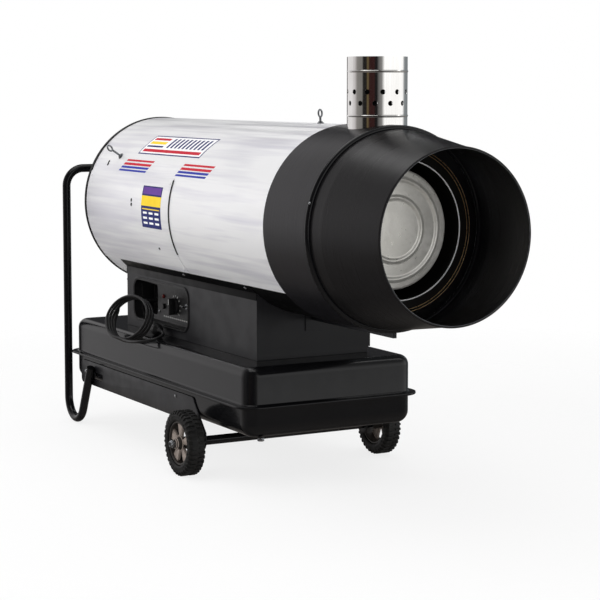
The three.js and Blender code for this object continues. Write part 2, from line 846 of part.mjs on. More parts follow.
// Burner tube, nozzle with its three-armed holder, pressure line from the pump
const burnerFront = exchangerRear + burnerRadius;
const burnerSides = 20;
part('burner_tube', onDrumAxis(turnX(
  sleeve([burnerRear, burnerFront], burnerRadius - burnerWall, burnerRadius * Math.cos(Math.PI / burnerSides)),
  burnerSides)), heatSteel);
const nozzleRear = pumpFront + nozzleRadius * 4;
const nozzleFront = exchangerRear - nozzleRadius;
const nozzleBody = turnX([
  [nozzleRear, 0],
  [nozzleRear, nozzleRadius],
  [nozzleFront - nozzleRadius, nozzleRadius],
  [nozzleFront, nozzleRadius * half],
  [nozzleFront, 0],
], smallSides);
const holderPlace = burnerRear + burnerRadius;
const holderReach = Math.sqrt(((burnerRadius - burnerWall) * Math.cos(Math.PI / burnerSides) - seat) ** 2
  - nozzleRadius ** 2);
const holderArms = [30, 150, 270].map((angle) => (
  block([holderPlace, holderPlace + burnerPlateSheet], [-nozzleRadius, nozzleRadius], [0, holderReach])
    .rotateX(THREE.MathUtils.degToRad(angle))));
part('nozzle', onDrumAxis(unite(nozzleBody, ...holderArms)), brass);
const lineBend = lineRadius * 2;
const lineRise = pumpHalf * half;
part('pressure_line', onDrumAxis(bentBar([
  [pumpFront + seat, 0, lineRise],
  [(pumpFront + nozzleRear) * half, 0, lineRise],
  [(pumpFront + nozzleRear) * half, 0, 0],
  [nozzleRear - seat, 0, 0],
], [lineBend, lineBend], [4, 4], lineRadius * half, 8)), copper);

// Burner box: four walls under the drum, open above and below, with an opening for the tray
const boxFootRise = tankTop + seat;
const boxOutside = block([boxRear, boxFront], [-boxHalfWidth, boxHalfWidth], [boxFootRise, drumAxisHeight]);
const boxInside = block([boxRear + boxSheet, boxFront - boxSheet],
  [-boxHalfWidth + boxSheet, boxHalfWidth - boxSheet], [boxFootRise + boxSheet, drumAxisHeight + overrun]);
const boxFloorHole = block([boxRear + boxFoot, boxFront - boxFoot],
  [-boxHalfWidth + boxFoot, boxHalfWidth - boxFoot], [boxFootRise - overrun, boxFootRise + overrun]);
const drumClearance = onDrumAxis(turnX(
  rod([-overrun, boxFront + overrun], circumscribed(drumRadius + seat, drumSides)), drumSides));
const trayHole = slabY(
  roundedRectangle([trayRear, trayFront], [trayLow, trayHigh], trayCorner, 3),
  [-boxHalfWidth - overrun, -boxHalfWidth + overrun]);
const boxShell = cut(boxOutside, boxInside, boxFloorHole, drumClearance, trayHole);
const boxStud = at(turnX(
  rod([boxRear - studLength, boxRear + boxSheet], studRadius), 8), [0, studPlace, trayHigh - studDrop]);
const boxTab = block([boxFront - tabLength, boxFront], [boxHalfWidth - boxSheet, boxHalfWidth + tabReach],
  [trayLow - tabDrop, trayLow + tabRise]);
const boxBuffer = at(turnX(
  rod([boxFront - boxSheet, boxFront + bufferReach], bufferRadius), 8), [0, bufferPlace, trayLow + bufferRise]);
part('burner_box', unite(boxShell, boxStud, boxTab, boxBuffer), paint);

// Saddle rails: angle strips along the box that follow the drum
const railOuterStart = THREE.MathUtils.radToDeg(
  Math.acos((railInner + railSheet) / (railCircle + railSheet)));
const railEnd = railStart - THREE.MathUtils.radToDeg(railLeaf / drumRadius);
const railOutline = [
  [-railInner, railTop - railDrop],
  ...arc([0, drumAxisHeight], railCircle, halfTurn + railStart, halfTurn + railEnd, 3),
  ...arc([0, drumAxisHeight], railCircle + railSheet, halfTurn + railEnd, halfTurn + railOuterStart, 3),
  [-railInner - railSheet, railTop - railDrop],
];
const railScrews = railScrewPlaces.map((place) => (
  facingControls([place, railTop - railDrop * half], -railInner - railSheet)));
const rail = unite(slabX(railOutline, [boxRear, boxFront]), ...railScrews);
part('saddle_rail_near', rail, paint);
part('saddle_rail_far', rail.clone().scale(1, -1, 1), paint);

// Control tray: a rounded pan let into the box side, with a deeper pocket for the lead
const trayFace = -boxHalfWidth - seat;
const trayFloor = -boxHalfWidth + trayDepth;
const pocketFloor = -boxHalfWidth + pocketDepth;
const grown = (by) => roundedRectangle(
  [trayRear - by, trayFront + by], [trayLow - by, trayHigh + by], trayCorner + by, 3);
const trayBody = slabY(grown(-seat), [trayFace - traySheet * half, trayFloor + traySheet]);
const trayLipPlate = slabY(grown(trayLip), [trayFace - traySheet, trayFace]);
const trayCavity = slabY(grown(-traySheet), [trayFace - overrun, trayFloor]);
const pocketRear = trayRear + traySheet + traySheet;
const pocketLow = trayLow + pocketInsetLow;
const pocketHigh = trayHigh - pocketInsetHigh;
const knobHeight = trayLow + knobAboveTray;
const toggleHeight = trayLow + toggleAboveTray;
const buttonHeight = trayLow + buttonAboveTray;
const lampHeight = trayLow + lampAboveTray;
const glandHeight = trayLow + glandAboveTray;
const pocketCorner = trayCorner * pocketCornerShare;
const pocketGrown = (by) => roundedRectangle(
  [pocketRear - by, pocketFront + by], [pocketLow - by, pocketHigh + by], pocketCorner + by, 3);
const pocketBody = slabY(pocketGrown(traySheet), [trayFloor, pocketFloor + traySheet]);
const pocketCavity = slabY(pocketGrown(0), [trayFloor - overrun, pocketFloor]);
const knobShaftRadius = toggleBushRadius * half;
const trayBore = (radius, place, height) => at(
  turn(rod([trayFloor - overrun, trayFloor + traySheet + overrun], radius), smallSides), [place, 0, height]);
const knobBore = trayBore(circumscribed(knobShaftRadius + seat, smallSides), knobPlace, knobHeight);
const buttonBore = trayBore(circumscribed(buttonRadius + seat, smallSides), buttonPlace, buttonHeight);
const trayPan = cut(
  unite(trayBody, trayLipPlate, pocketBody), trayCavity, pocketCavity, knobBore, buttonBore);
const trayScrewInset = traySheet + screwRadius + screwRadius;
const trayScrews = [
  [trayFront - trayScrewInset, (trayLow + trayHigh) * half],
  [pocketFront + trayScrewInset, trayLow + trayCorner],
].map((place) => facingControls(place, trayFloor));
part('control_tray', unite(trayPan, ...trayScrews), plastic);

// Thermostat knob: skirt, grip bar and shaft
const knobFoot = trayFloor - seat;
const knobTop = knobFoot - knobSkirt;
const knobSkirtShape = turn([
  [knobFoot, 0],
  [knobFoot, knobRadius],
  [knobTop, knobRadius * knobTaperShare],
  [knobTop, 0],
], 20);
const knobGrip = slabY(
  roundedRectangle([-knobGripWidth * half, knobGripWidth * half], [-knobRadius, knobRadius],
    knobGripWidth * knobGripRoundShare, 3), [knobTop - knobGripRise, knobTop + seat]);
const knobShaft = turn(rod([knobTop, trayFloor + traySheet + overrun], knobShaftRadius), smallSides);
part('thermostat_knob', at(unite(knobSkirtShape, knobGrip, knobShaft), [knobPlace, 0, knobHeight]), plastic);

// Toggle switch: a fixed bush and a lever whose ball tilts in the bore of the bush
const toggleAt = [togglePlace, 0, toggleHeight];
const bushTop = trayFloor - seat - toggleBushLength;
const leverRoot = toggleLeverRadius * leverRootShare;
part('toggle_bush', at(turn(
  sleeve([bushTop, trayFloor - seat], circumscribed(toggleLeverRadius + seat, smallSides), toggleBushRadius),
  smallSides), toggleAt), zinc);
const leverPivot = bushTop + toggleBushLength * half;
const leverBall = at(turnX(
  arc([0, 0], toggleLeverRadius, 180, 0, 4), smallSides), [0, leverPivot, 0]);
const leverRod = turn([
  [leverPivot, 0],
  [leverPivot, leverRoot],
  [leverPivot - toggleLeverLength * leverSwellShare, toggleLeverRadius],
  [leverPivot - toggleLeverLength, leverRoot],
  [leverPivot - toggleLeverLength, 0],
], smallSides);
part('toggle_lever', at(unite(leverBall, leverRod), toggleAt), zinc);

// Reset button, indicator lamp, and the tray screws
part('reset_button', at(turn(
  rod([trayFloor - buttonRise, trayFloor + traySheet + buttonRise], buttonRadius), smallSides),
  [buttonPlace, 0, buttonHeight]), plastic);
part('indicator_lamp', at(turn([
  [trayFloor - seat, 0],
  [trayFloor - seat, lampRadius],
  [trayFloor - lampRadius * half, lampRadius * lampRoundShare],
  [trayFloor - lampRadius, 0],
], smallSides), [buttonPlace, 0, lampHeight]), lampRed);

// Supply lead: gland in the pocket, free stretch, coil, tail and plug
const glandMouth = pocketFloor - seat - glandLength;
part('cord_gland', at(turn(
  sleeve([glandMouth, pocketFloor - seat], leadRadius * half, glandRadius), smallSides),
  [glandPlace, 0, glandHeight]), plastic);

// The coil: one unbroken tube, an oval helix turned and leaned toward the box
const coilYawTurn = THREE.MathUtils.degToRad(coilYawAngle);
const coilLeanTurn = THREE.MathUtils.degToRad(coilLeanAngle);
const coilAlong = new THREE.Vector3(Math.cos(coilYawTurn), Math.sin(coilYawTurn), 0);
const coilOut = new THREE.Vector3(Math.sin(coilYawTurn), -Math.cos(coilYawTurn), 0);
const coilUp = new THREE.Vector3(0, 0, 1).multiplyScalar(Math.cos(coilLeanTurn))
  .addScaledVector(coilOut, -Math.sin(coilLeanTurn));
const coilAxis = new THREE.Vector3().crossVectors(coilAlong, coilUp);
function coilPoint(turned) {
  const angle = THREE.MathUtils.degToRad(coilStartAngle) + 2 * Math.PI * turned;
  return new THREE.Vector3(...coilPlace, tankTop + coilRise)
    .addScaledVector(coilAlong, coilHalfLength * Math.cos(angle))
    .addScaledVector(coilUp, coilHalfHeight * Math.sin(angle))
    .addScaledVector(coilAxis, (turned - coilTurns * half) * coilPitch);
}
const coilCount = Math.round(coilTurns * coilSteps);
const coilPoints = Array.from({ length: coilCount + 1 }, (_, i) => coilPoint(i / coilSteps));
const coilWays = coilPoints.map((_, i) => {
  const before = coilPoints[Math.max(i - 1, 0)];
  const after = coilPoints[Math.min(i + 1, coilCount)];
  return after.clone().sub(before).normalize();
});
const coilEntry = coilPoints[0].clone().addScaledVector(coilWays[0], -2 * leadRadius);
const coilExit = coilPoints[coilCount].clone().addScaledVector(coilWays[coilCount], 2 * leadRadius);

// A line through given stations, each with its direction.
class StationLine extends BentLine {
  constructor(places, ways) {
    super([[0, 0, 0], [1, 0, 0]], [], []);
    this.stations = places.map((place, i) => ({ place, way: ways[i] }));
    this.steps = this.stations.length - 1;
  }
}
const coilLine = new StationLine(
  [coilEntry, ...coilPoints, coilExit], [coilWays[0], ...coilWays, coilWays[coilCount]]);
const coilTube = sweep(disc(leadRadius, coilSides), coilLine, coilLine.steps);
part('lead_coil', coilTube, rubber);

let leastGap = Infinity;
for (let i = 0; i <= coilCount; i++) {
  for (let j = i + coilSteps / 2; j <= coilCount; j++) {
    leastGap = Math.min(leastGap, coilPoints[i].distanceTo(coilPoints[j]) - 2 * leadRadius);
  }
}
console.log(`least gap of the coil to itself: ${leastGap.toFixed(2)} mm`);

// A free stretch through points chosen by hand, its ends square to what they meet.
function leadStretch(start, startWay, middle, end, endWay, steps) {
  const lead = 2 * leadRadius;
  const line = new THREE.CatmullRomCurve3([
    start,
    start.clone().addScaledVector(startWay, lead),
    ...middle.map((point) => new THREE.Vector3(...point)),
    end.clone().addScaledVector(endWay, -lead),
    end,
  ], false, 'centripetal');
  const inner = Array.from({ length: steps - 1 }, (_, i) => (i + 1) / steps);
  const places = [start, ...inner.map((u) => line.getPointAt(u)), end];
  const ways = [startWay, ...inner.map((u) => line.getTangentAt(u)), endWay];
  const stations = new StationLine(places, ways);
  return sweep(disc(leadRadius, leadSides), stations, stations.steps);
}
const outward = new THREE.Vector3(0, -1, 0);
const leadStartMiddle = [[228, -160, 4], [214, -198, 10], [205, -229, 0]]
  .map(([x, y, rise]) => [x, y, glandHeight + rise]);
const glandExit = new THREE.Vector3(glandPlace, glandMouth - seat, glandHeight);
part('lead_start', leadStretch(
  glandExit, outward, leadStartMiddle,
  coilEntry.clone().addScaledVector(coilWays[0], -seat), coilWays[0], 22), rubber);

// Plug lying on the tank top: round body, tapered strain relief and two round pins
const plugYaw = THREE.MathUtils.degToRad(plugTurnAngle);
const plugWay = new THREE.Vector3(Math.cos(plugYaw), Math.sin(plugYaw), 0);
const plugHeight = tankTop + seat + plugRadius;
const plugPlaced = (geometry) => at(geometry.rotateZ(plugYaw), [...plugRear, plugHeight]);
part('plug_body', plugPlaced(turnX([
  [0, 0],
  [0, leadRadius * reliefShares[0]],
  [plugRelief, leadRadius * reliefShares[1]],
  [plugRelief + plugRadius * half, plugRadius * plugNeckShare],
  [plugRelief + plugRadius, plugRadius],
  [plugRelief + plugLength, plugRadius],
  [plugRelief + plugLength, 0],
], 24)), rubber);
const plugPins = [-half, half].map((side) => at(
  turnX([
    [0, 0],
    [0, plugPinRadius],
    [plugPinLength - plugPinRadius, plugPinRadius],
    [plugPinLength, plugPinRadius * half],
    [plugPinLength, 0],
  ], 10), [plugRelief + plugLength + seat, side * plugPinSpacing, 0]));
part('plug_pin_left', plugPlaced(plugPins[1]), zinc);
part('plug_pin_right', plugPlaced(plugPins[0]), zinc);
const tailMiddle = [
  [375, -288, -11], [420, -287, -9], [455, -281, -5], [480, -266, 0], [489, -241, 6], [477, -215, 12],
].map(([x, y, rise]) => [x, y, tankTop + rise]);
part('lead_tail', leadStretch(
  coilExit.clone().addScaledVector(coilWays[coilCount], seat), coilWays[coilCount], tailMiddle,
  new THREE.Vector3(...plugRear, plugHeight).addScaledVector(plugWay, -seat), plugWay, 20), rubber);

// Fuel tank: two pressed pans meeting at a seam flange
const cornerSteps = 3;
function deck(inset, height) {
  return roundedRectangle(
    [tankRear + inset, tankFront - inset], [-tankHalfWidth + inset, tankHalfWidth - inset],
    Math.max(tankCorner - inset, tankSheet), cornerSteps).map(([x, y]) => [x, y, height]);
}
// Half a pan's section from the middle of its floor to its flange, then back along the inside.
function pan(floor, seam, round) {
  const up = Math.sign(floor - seam);
  const bend = (radius) => arc([round, floor - up * round], radius, 180, 90, 3)
    .map(([inset, height]) => [inset, floor - up * round + Math.abs(height - (floor - up * round)) * up]);
  const outside = [...bend(round)].reverse();
  const inside = bend(round - tankSheet);
  const edge = -tankFlangeReach;
  const sections = [
    ...outside,
    [0, seam + up * (tankFlangeSheet + tankFlangeSheet)],
    [-tankFlangeSheet, seam + up * tankFlangeSheet],
    [edge + tankFlangeSheet * half, seam + up * tankFlangeSheet],
    [edge, seam + up * tankFlangeSheet * half],
    [edge, seam],
    [tankSheet, seam],
    ...inside,
  ];
  return loft(sections.map(([inset, height]) => deck(inset, height)));
}
const tankBore = (radius, sides, place) => at(turnZ(
  rod([tankSeam, tankTop + overrun], circumscribed(radius + seat, sides)), sides), place);
const fillerBore = tankBore(fillerRadius, smallSides, [fillerPlace, fillerSide, 0]);
const suctionBore = tankBore(lineRadius, leadSides, [linePlace, 0, 0]);
part('tank_upper', cut(pan(tankTop, tankSeam + seat * half, tankTopRound), fillerBore, suctionBore), paint);
const drainThread = drainRadius * drainThreadShare;
const drainBore = at(turnZ(
  rod([tankBottom - overrun, tankSeam], circumscribed(drainThread + seat, smallSides)), smallSides),
  [drainPlace, drainSide, 0]);
part('tank_lower', cut(pan(tankBottom, tankSeam - seat * half, tankBottomRound), drainBore), paint);

part('drain_plug', at(turnZ([
  [tankBottom - seat - drainRadius, 0],
  [tankBottom - seat - drainRadius, drainRadius],
  [tankBottom - seat, drainRadius],
  [tankBottom - seat, drainThread],
  [tankBottom + drainRadius, drainThread],
  [tankBottom + drainRadius, 0],
], smallSides), [drainPlace, drainSide, 0]), zinc);

// Filler neck through the tank top, its cap, and the suction line up to the pump
const fillerTop = tankTop + fillerRise;
const neckFlange = fillerRadius + fillerWall + fillerWall;
part('filler_neck', at(turnZ(loop([
  [tankTop - fillerRise, fillerRadius - fillerWall],
  [tankTop - fillerRise, fillerRadius],
  [tankTop + seat, fillerRadius],
  [tankTop + seat, neckFlange],
  [tankTop + seat + fillerWall, neckFlange],
  [tankTop + seat + fillerWall, fillerRadius],
  [fillerTop, fillerRadius],
  [fillerTop, fillerRadius - fillerWall],
]), 12), [fillerPlace, fillerSide, 0]), zinc);
const capFoot = tankTop + seat + fillerWall + seat;
const capInner = circumscribed(fillerRadius + seat, 12);
part('filler_cap', at(turnZ([
  [capFoot, capInner],
  [capFoot, capRadius],
  [capFoot + capHeight, capRadius],
  [capFoot + capHeight + capSkirt, capRadius - capSkirt],
  [capFoot + capHeight + capSkirt, 0],
  [fillerTop + seat, 0],
  [fillerTop + seat, capInner],
  [capFoot, capInner],
], 12), [fillerPlace, fillerSide, 0]), plastic);
part('suction_line', at(turnZ(
  rod([tankSeam, drumAxisHeight - pumpHalf - seat], lineRadius), leadSides), [linePlace, 0, 0]), copper);

// Ignition transformer on the tank top, inside the box
part('ignition_transformer', block(transformerPlace, [-transformerHalfWidth, transformerHalfWidth],
  [tankTop + seat, tankTop + transformerRise]), plastic);

// Wheel brackets: plates on the tank sides reaching down to the axle, which stands as high
// as the flat tops of the tyre lugs
const tyreBody = wheelRadius - treadRise;
const lugHalf = ((Math.PI * tyreBody) / treadLugs) * lugWidthShare;
const axleHeight = Math.sqrt(wheelRadius ** 2 - lugHalf ** 2);
const bracketInner = tankHalfWidth + seat;
const bracketOuter = bracketInner + bracketSheet;
const axleEye = axleRadius + axleRadius;
const bracketOutline = [
  [bracketRear, bracketTop - bracketCorner],
  [bracketRear, bracketLow + bracketCorner],
  [bracketRear + bracketCorner, bracketLow],
  [bracketPlateFront - bracketThroat, bracketLow],
  ...arc([wheelPlace, axleHeight], axleEye, bracketThroatAngle, fullTurn, 5),
  [wheelPlace + axleEye, axleHeight + axleEye],
  ...arc([wheelPlace - bracketTabReach, bracketTop - bracketTabRound], bracketTabRound, 20, 90, 2),
  [bracketRear + bracketCorner, bracketTop],
];
const bracketThrough = [-bracketOuter - overrun, -bracketInner + overrun];
const bracketWindow = roundedRectangle([bracketWindowRear, bracketWindowFront],
  [bracketLow + bracketWindowRise, bracketTop - bracketWindowDrop], bracketSheet, 2);
const bracketPlate = cut(
  unite(slabY(bracketOutline, [-bracketOuter, -bracketInner]),
    facingControls([bracketScrewPlace, handleEndHeight], -bracketOuter)),
  slabY(bracketWindow, bracketThrough),
  at(turn(rod(bracketThrough, circumscribed(axleRadius + seat, smallSides)), smallSides),
    [wheelPlace, 0, axleHeight]));
part('wheel_bracket_near', bracketPlate, paint);
part('wheel_bracket_far', bracketPlate.clone().scale(1, -1, 1), paint);

// Axle with turned-down ends for the wheels
const wheelInnerFace = wheelOuterFace - wheelWidth;
const hubOuterFace = wheelOuterFace + rimHubReach;
const axleShoulder = wheelInnerFace - running;
const pinEnd = hubOuterFace + running * half + seat + hubNutLength * half;
part('axle', at(turn([
  [-pinEnd, 0],
  [-pinEnd, axlePinRadius],
  [-axleShoulder, axlePinRadius],
  [-axleShoulder, axleRadius],
  [axleShoulder, axleRadius],
  [axleShoulder, axlePinRadius],
  [pinEnd, axlePinRadius],
  [pinEnd, 0],
], smallSides), [wheelPlace, 0, axleHeight]), paint);

// One wheel, built on the control side: tyre with two rows of lugs, rim with five spokes, cap nut
const wheelMiddle = -(wheelOuterFace - wheelWidth * half);
const wheelHalf = wheelWidth * half;
const wheelSides = 20;
const tyreInner = circumscribed(rimRadius + seat, wheelSides);
const tyreRing = turn(loop([
  [-wheelHalf + tyreShoulder * half, tyreInner],
  [-wheelHalf, tyreInner + tyreShoulder * half],
  [-wheelHalf, tyreBody - tyreShoulder],
  [-wheelHalf + tyreShoulder * half, tyreBody - tyreShoulder * shoulderShare],
  [-wheelHalf + tyreShoulder, tyreBody],
  [wheelHalf - tyreShoulder, tyreBody],
  [wheelHalf - tyreShoulder * half, tyreBody - tyreShoulder * shoulderShare],
  [wheelHalf, tyreBody - tyreShoulder],
  [wheelHalf, tyreInner + tyreShoulder * half],
  [wheelHalf - tyreShoulder * half, tyreInner],
]), wheelSides);
const lugRoot = tyreBody - tyreShoulder - treadRise;
const lugShoulder = axleHeight - tyreShoulder + tyreShoulder * shoulderShare;
function lug(side, turned) {
  const middle = side * treadRise * lugMiddleShare;
  const edge = side * wheelHalf;
  const outline = [
    [middle, -lugRoot],
    [edge, -lugRoot],
    [edge, -lugShoulder],
    [edge - side * tyreShoulder * half, -axleHeight],
    [middle, -axleHeight],
  ];
  return slabX(outline, [-lugHalf, lugHalf]).rotateY(turned);
}
const lugs = [-1, 1].flatMap((side) => Array.from({ length: treadLugs }, (_, i) => (
  lug(side, (2 * Math.PI * (i + (side > 0 ? half : 0))) / treadLugs))));
const wheelPlaced = (geometry, side) => {
  const placed = at(geometry.clone(), [wheelPlace, wheelMiddle, axleHeight]);
  return side > 0 ? placed.scale(1, -1, 1) : placed;
};
const tyre = unite(tyreRing, ...lugs);
const rimInner = rimRadius - rimWall;
const rimLip = wheelHalf - tyreShoulder * half;
const barrel = turn(loop([
  [-rimLip, rimInner],
  [-rimLip, rimRadius],
  [rimLip, rimRadius],
  [rimLip, rimInner],
]), wheelSides);
const hubBore = circumscribed(axlePinRadius + seat, smallSides);
const hub = turn(loop([
  [-wheelHalf - rimHubReach, hubBore],
  [-wheelHalf - rimHubReach, rimHubRadius * rimHubTaperShare],
  [-rimLip + rimHubReach, rimHubRadius],
  [wheelHalf, rimHubRadius],
  [wheelHalf, hubBore],
]), smallSides);
const spokeOut = -rimLip + rimHubReach;
const spoke = slabY([
  [-rimHubRadius * spokeRootShare, rimHubRadius * spokeStartShare],
  [rimHubRadius * spokeRootShare, rimHubRadius * spokeStartShare],
  [rimInner * spokeTipShare, rimInner + rimWall * half],
  [-rimInner * spokeTipShare, rimInner + rimWall * half],
], [spokeOut, spokeOut + spokeSheet]);
const spokes = Array.from({ length: rimSpokes }, (_, i) => (
  spoke.clone().rotateY((2 * Math.PI * i) / rimSpokes)));
const rim = unite(barrel, hub, ...spokes);
for (const [side, word] of [[-1, 'near'], [1, 'far']]) {
  part(`tyre_${word}`, wheelPlaced(tyre, side), rubber);
  part(`rim_${word}`, wheelPlaced(rim, side), plastic);
}

// Cap nuts on the ends of the axle
const nutFoot = hubOuterFace + running * half;
const nutBore = circumscribed(axlePinRadius + seat, 6);
const capNut = turn([
  [-nutFoot, nutBore],
  [-pinEnd - seat, nutBore],
  [-pinEnd - seat, 0],
  [-nutFoot - hubNutLength, 0],
  [-nutFoot - hubNutLength, hubNutRadius * half],
  [-nutFoot - hubNutLength * hubNutFlatShare, hubNutRadius],
  [-nutFoot, hubNutRadius],
  [-nutFoot, nutBore],
], 6);
const placedNut = at(capNut, [wheelPlace, 0, axleHeight]);
part('hub_nut_near', placedNut, zinc);
part('hub_nut_far', placedNut.clone().scale(1, -1, 1), zinc);

// Handle: crossbar behind the drum, two legs bent round on the ground and up to the brackets
const handleSide = bracketOuter + seat + handleRadius;
const footTurn = THREE.MathUtils.degToRad(halfTurn - handleLeanAngle);
const footCentreHeight = handleRadius + handleFootBend;
const footCorner = footCentreHeight - handleFootBend * Math.tan(footTurn / 2);
const leanTurn = THREE.MathUtils.degToRad(handleLeanAngle);
const handleEnd = handleRear + (handleEndHeight - footCorner) * Math.tan(leanTurn);
part('handle', bentBar([
  [handleEnd, -handleSide, handleEndHeight],
  [handleRear, -handleSide, footCorner],
  [handleRear, -handleSide, handleHeight],
  [handleRear, handleSide, handleHeight],
  [handleRear, handleSide, footCorner],
  [handleEnd, handleSide, handleEndHeight],
], [handleFootBend, handleTopBend, handleTopBend, handleFootBend], [9, 5, 5, 9], handleRadius, 8), paint);

// Support bar under the collar, its foot on the front wall of the box
const barTop = drumAxisHeight - beadRingRadius - beadRadius - seat;
const barRear = boxFront + seat;
part('support_bar', unite(
  block([barRear, barFront], [-barHalfWidth, barHalfWidth], [barTop - barDrop, barTop]),
  block([barRear, barRear + barFootSheet], [-barFootHalfWidth, barFootHalfWidth],
    [barTop - barFootDrop, barTop])), paint);

// Eye bolts standing out of the drum, each with its lock nut on the facet below it
const facetTurn = fullTurn / drumSides;
for (const { name, along, angle } of eyePlaces) {
  const facetMiddle = (Math.floor(angle / facetTurn) + half) * facetTurn;
  const tilt = THREE.MathUtils.degToRad(Math.abs(angle - facetMiddle));
  const foot = (drumRadius * drumFlats) / Math.cos(tilt) + seat + eyeNutRadius * Math.sin(tilt);
  const shank = turnZ(rod([foot, foot + eyeShank], eyeWire), screwSides);
  const ring = turn(loop(arc([0, eyeRadius], eyeWire * eyeThinShare, 0, 270, 3)), smallSides);
  const lockNut = turnZ(rod([foot, foot + eyeNutRadius], eyeNutRadius), 6);
  const standing = unite(shank, lockNut, at(ring, [0, 0, foot + eyeShank + eyeRadius]));
  part(name, at(onDrumAxis(standing.rotateX(THREE.MathUtils.degToRad(90 - angle))), [along, 0, 0]), zinc);
}

// Screws through the flattened ends of the handle
const handleScrewDrop = screwRadius + screwRadius;
const handleScrew = facingControls(
  [handleEnd - handleScrewDrop * Math.tan(leanTurn), handleEndHeight - handleScrewDrop],
  -handleSide - handleRadius - screwSink - seat);
part('handle_screw_near', handleScrew, zinc);
part('handle_screw_far', handleScrew.clone().scale(1, -1, 1), zinc);

// The middle of the assembly's box stands on the origin
const rearmost = Math.min(handleRear - handleRadius, tankRear - tankFlangeReach);
heater.position.x = -(outletPlace + rearmost) * half;

const assembly = new THREE.Group();
assembly.add(heater);
export default assembly;
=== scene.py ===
"""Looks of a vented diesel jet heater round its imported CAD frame.

Every shape is written in millimetres with X from the rear rim of the drum, as in the CAD source,
and turned into metres of the shared frame by metres().
"""
import math

import bmesh
import bpy
import numpy as np
from mathutils import Matrix, Vector


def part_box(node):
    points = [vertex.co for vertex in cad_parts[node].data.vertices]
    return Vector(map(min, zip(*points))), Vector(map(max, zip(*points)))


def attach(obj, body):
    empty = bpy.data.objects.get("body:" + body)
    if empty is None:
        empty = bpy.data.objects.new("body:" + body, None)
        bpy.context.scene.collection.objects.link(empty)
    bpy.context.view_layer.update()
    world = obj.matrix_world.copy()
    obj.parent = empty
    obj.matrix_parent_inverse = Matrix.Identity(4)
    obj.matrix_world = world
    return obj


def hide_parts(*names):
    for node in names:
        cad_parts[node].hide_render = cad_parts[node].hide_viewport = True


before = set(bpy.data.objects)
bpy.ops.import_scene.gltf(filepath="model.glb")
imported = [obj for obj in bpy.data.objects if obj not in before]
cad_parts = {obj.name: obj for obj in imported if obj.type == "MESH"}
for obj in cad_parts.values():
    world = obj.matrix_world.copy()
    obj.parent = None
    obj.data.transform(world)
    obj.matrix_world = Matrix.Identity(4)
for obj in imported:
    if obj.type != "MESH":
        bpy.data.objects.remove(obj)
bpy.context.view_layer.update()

MM = 0.001
OUTLET_PLACE = 1657
DRUM_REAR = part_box("outlet_cone")[1].x / MM - OUTLET_PLACE


def metres(points):
    """Places in millimetres from the drum's rear rim as metres in the frame: (p + (rear, 0, 0)) / 1000."""
    return (np.asarray(points, float) + [DRUM_REAR, 0, 0]) * MM


# Camera, solved from the photo by least squares on the object's known corners
PHOTO_SIDE = 600
FOCAL_PIXELS = 1791.05
PRINCIPAL_HEIGHT = 253.6
SENSOR = 36
CAMERA_PLACE = (4.3631, -2.3397, 1.0419)
CAMERA_AZIMUTH = math.radians(61.02)
CAMERA_ELEVATION = math.radians(5.3)

camera_data = bpy.data.cameras.new("camera")
camera = bpy.data.objects.new("camera", camera_data)
bpy.context.scene.collection.objects.link(camera)
bpy.context.scene.camera = camera
camera_data.sensor_width = SENSOR
camera_data.lens = SENSOR * FOCAL_PIXELS / PHOTO_SIDE
camera_data.shift_y = (PRINCIPAL_HEIGHT - PHOTO_SIDE / 2) / PHOTO_SIDE
camera_data.clip_end = 100
camera_back = Vector((
    math.sin(CAMERA_AZIMUTH) * math.cos(CAMERA_ELEVATION),
    -math.cos(CAMERA_AZIMUTH) * math.cos(CAMERA_ELEVATION),
    math.sin(CAMERA_ELEVATION)))
camera_right = Vector((math.cos(CAMERA_AZIMUTH), math.sin(CAMERA_AZIMUTH), 0))
camera_up = camera_back.cross(camera_right)
camera.matrix_world = Matrix((camera_right, camera_up, camera_back)).transposed().to_4x4()
camera.location = CAMERA_PLACE

# Sizes in millimetres, as in the CAD source or read more closely from the photo
SEAT = 0.3
DRUM_RADIUS = 255
AXIS_HEIGHT = 693
DRUM_SHEET = 1.2
DRUM_HEM = 3.5
DRUM_FRONT = 1187
COLLAR_REAR = 1171
COLLAR_FRONT = 1382.6
COLLAR_INNER = DRUM_RADIUS + SEAT
COLLAR_OUTER = COLLAR_INNER + DRUM_SHEET
BEAD_PLACE = 1387
BEAD_RADIUS = 8
BEAD_RING = 249.5
CONE_REAR = 1394.4
CONE_REAR_RADIUS = 247
CONE_SHOULDER = 24
OUTLET_RADIUS = 211
OUTLET_HEM = 3
COVER_REAR, COVER_FRONT = 14, 607
COVER_TOP, COVER_LOW = 22, -41
COVER_LAP = 26
COVER_INNER = DRUM_RADIUS + SEAT + SEAT
EXCHANGER_RADIUS = 151
EXCHANGER_WALL = 2
END_PLACE = 1381
END_FLANGE = 8
RIB_RADII = (79, 125)
RIB_HALF = 9
RIB_RISE = 3.4
SHIELD_RADIUS = 175
SHIELD_REAR, SHIELD_FRONT = 530, 1409
SHIELD_SHEET = 1.2
SHIELD_RING = 209
SHIELD_EDGE = 3
STRIP_ROWS = (711, 996)
STRIP_REACH = (174, 252.5)
STRIP_SHEET = 3
STRIP_HALF = 10
FLUE_RADIUS = 75
FLUE_WALL = 1
FLUE_TOP = 1118
FLUE_PLACE = 1298
FLUE_BORE = 74
FLUE_BEAD_RISE = 1.6
FLUE_BEAD_HALF = 3.2
FLUE_UPPER_BEAD = 1082
FLUE_LOWER_BEAD = 972
FLUE_HOLE_ROWS = (1003, 1031)
FLUE_HOLE_RADIUS = 6.4
FLUE_HOLES = 12
FLUE_FIRST_HOLE = 9
BOX_REAR, BOX_FRONT = 121, 972
BOX_HALF = 170
TRAY_X, TRAY_Z = (177, 552), (350, 470)
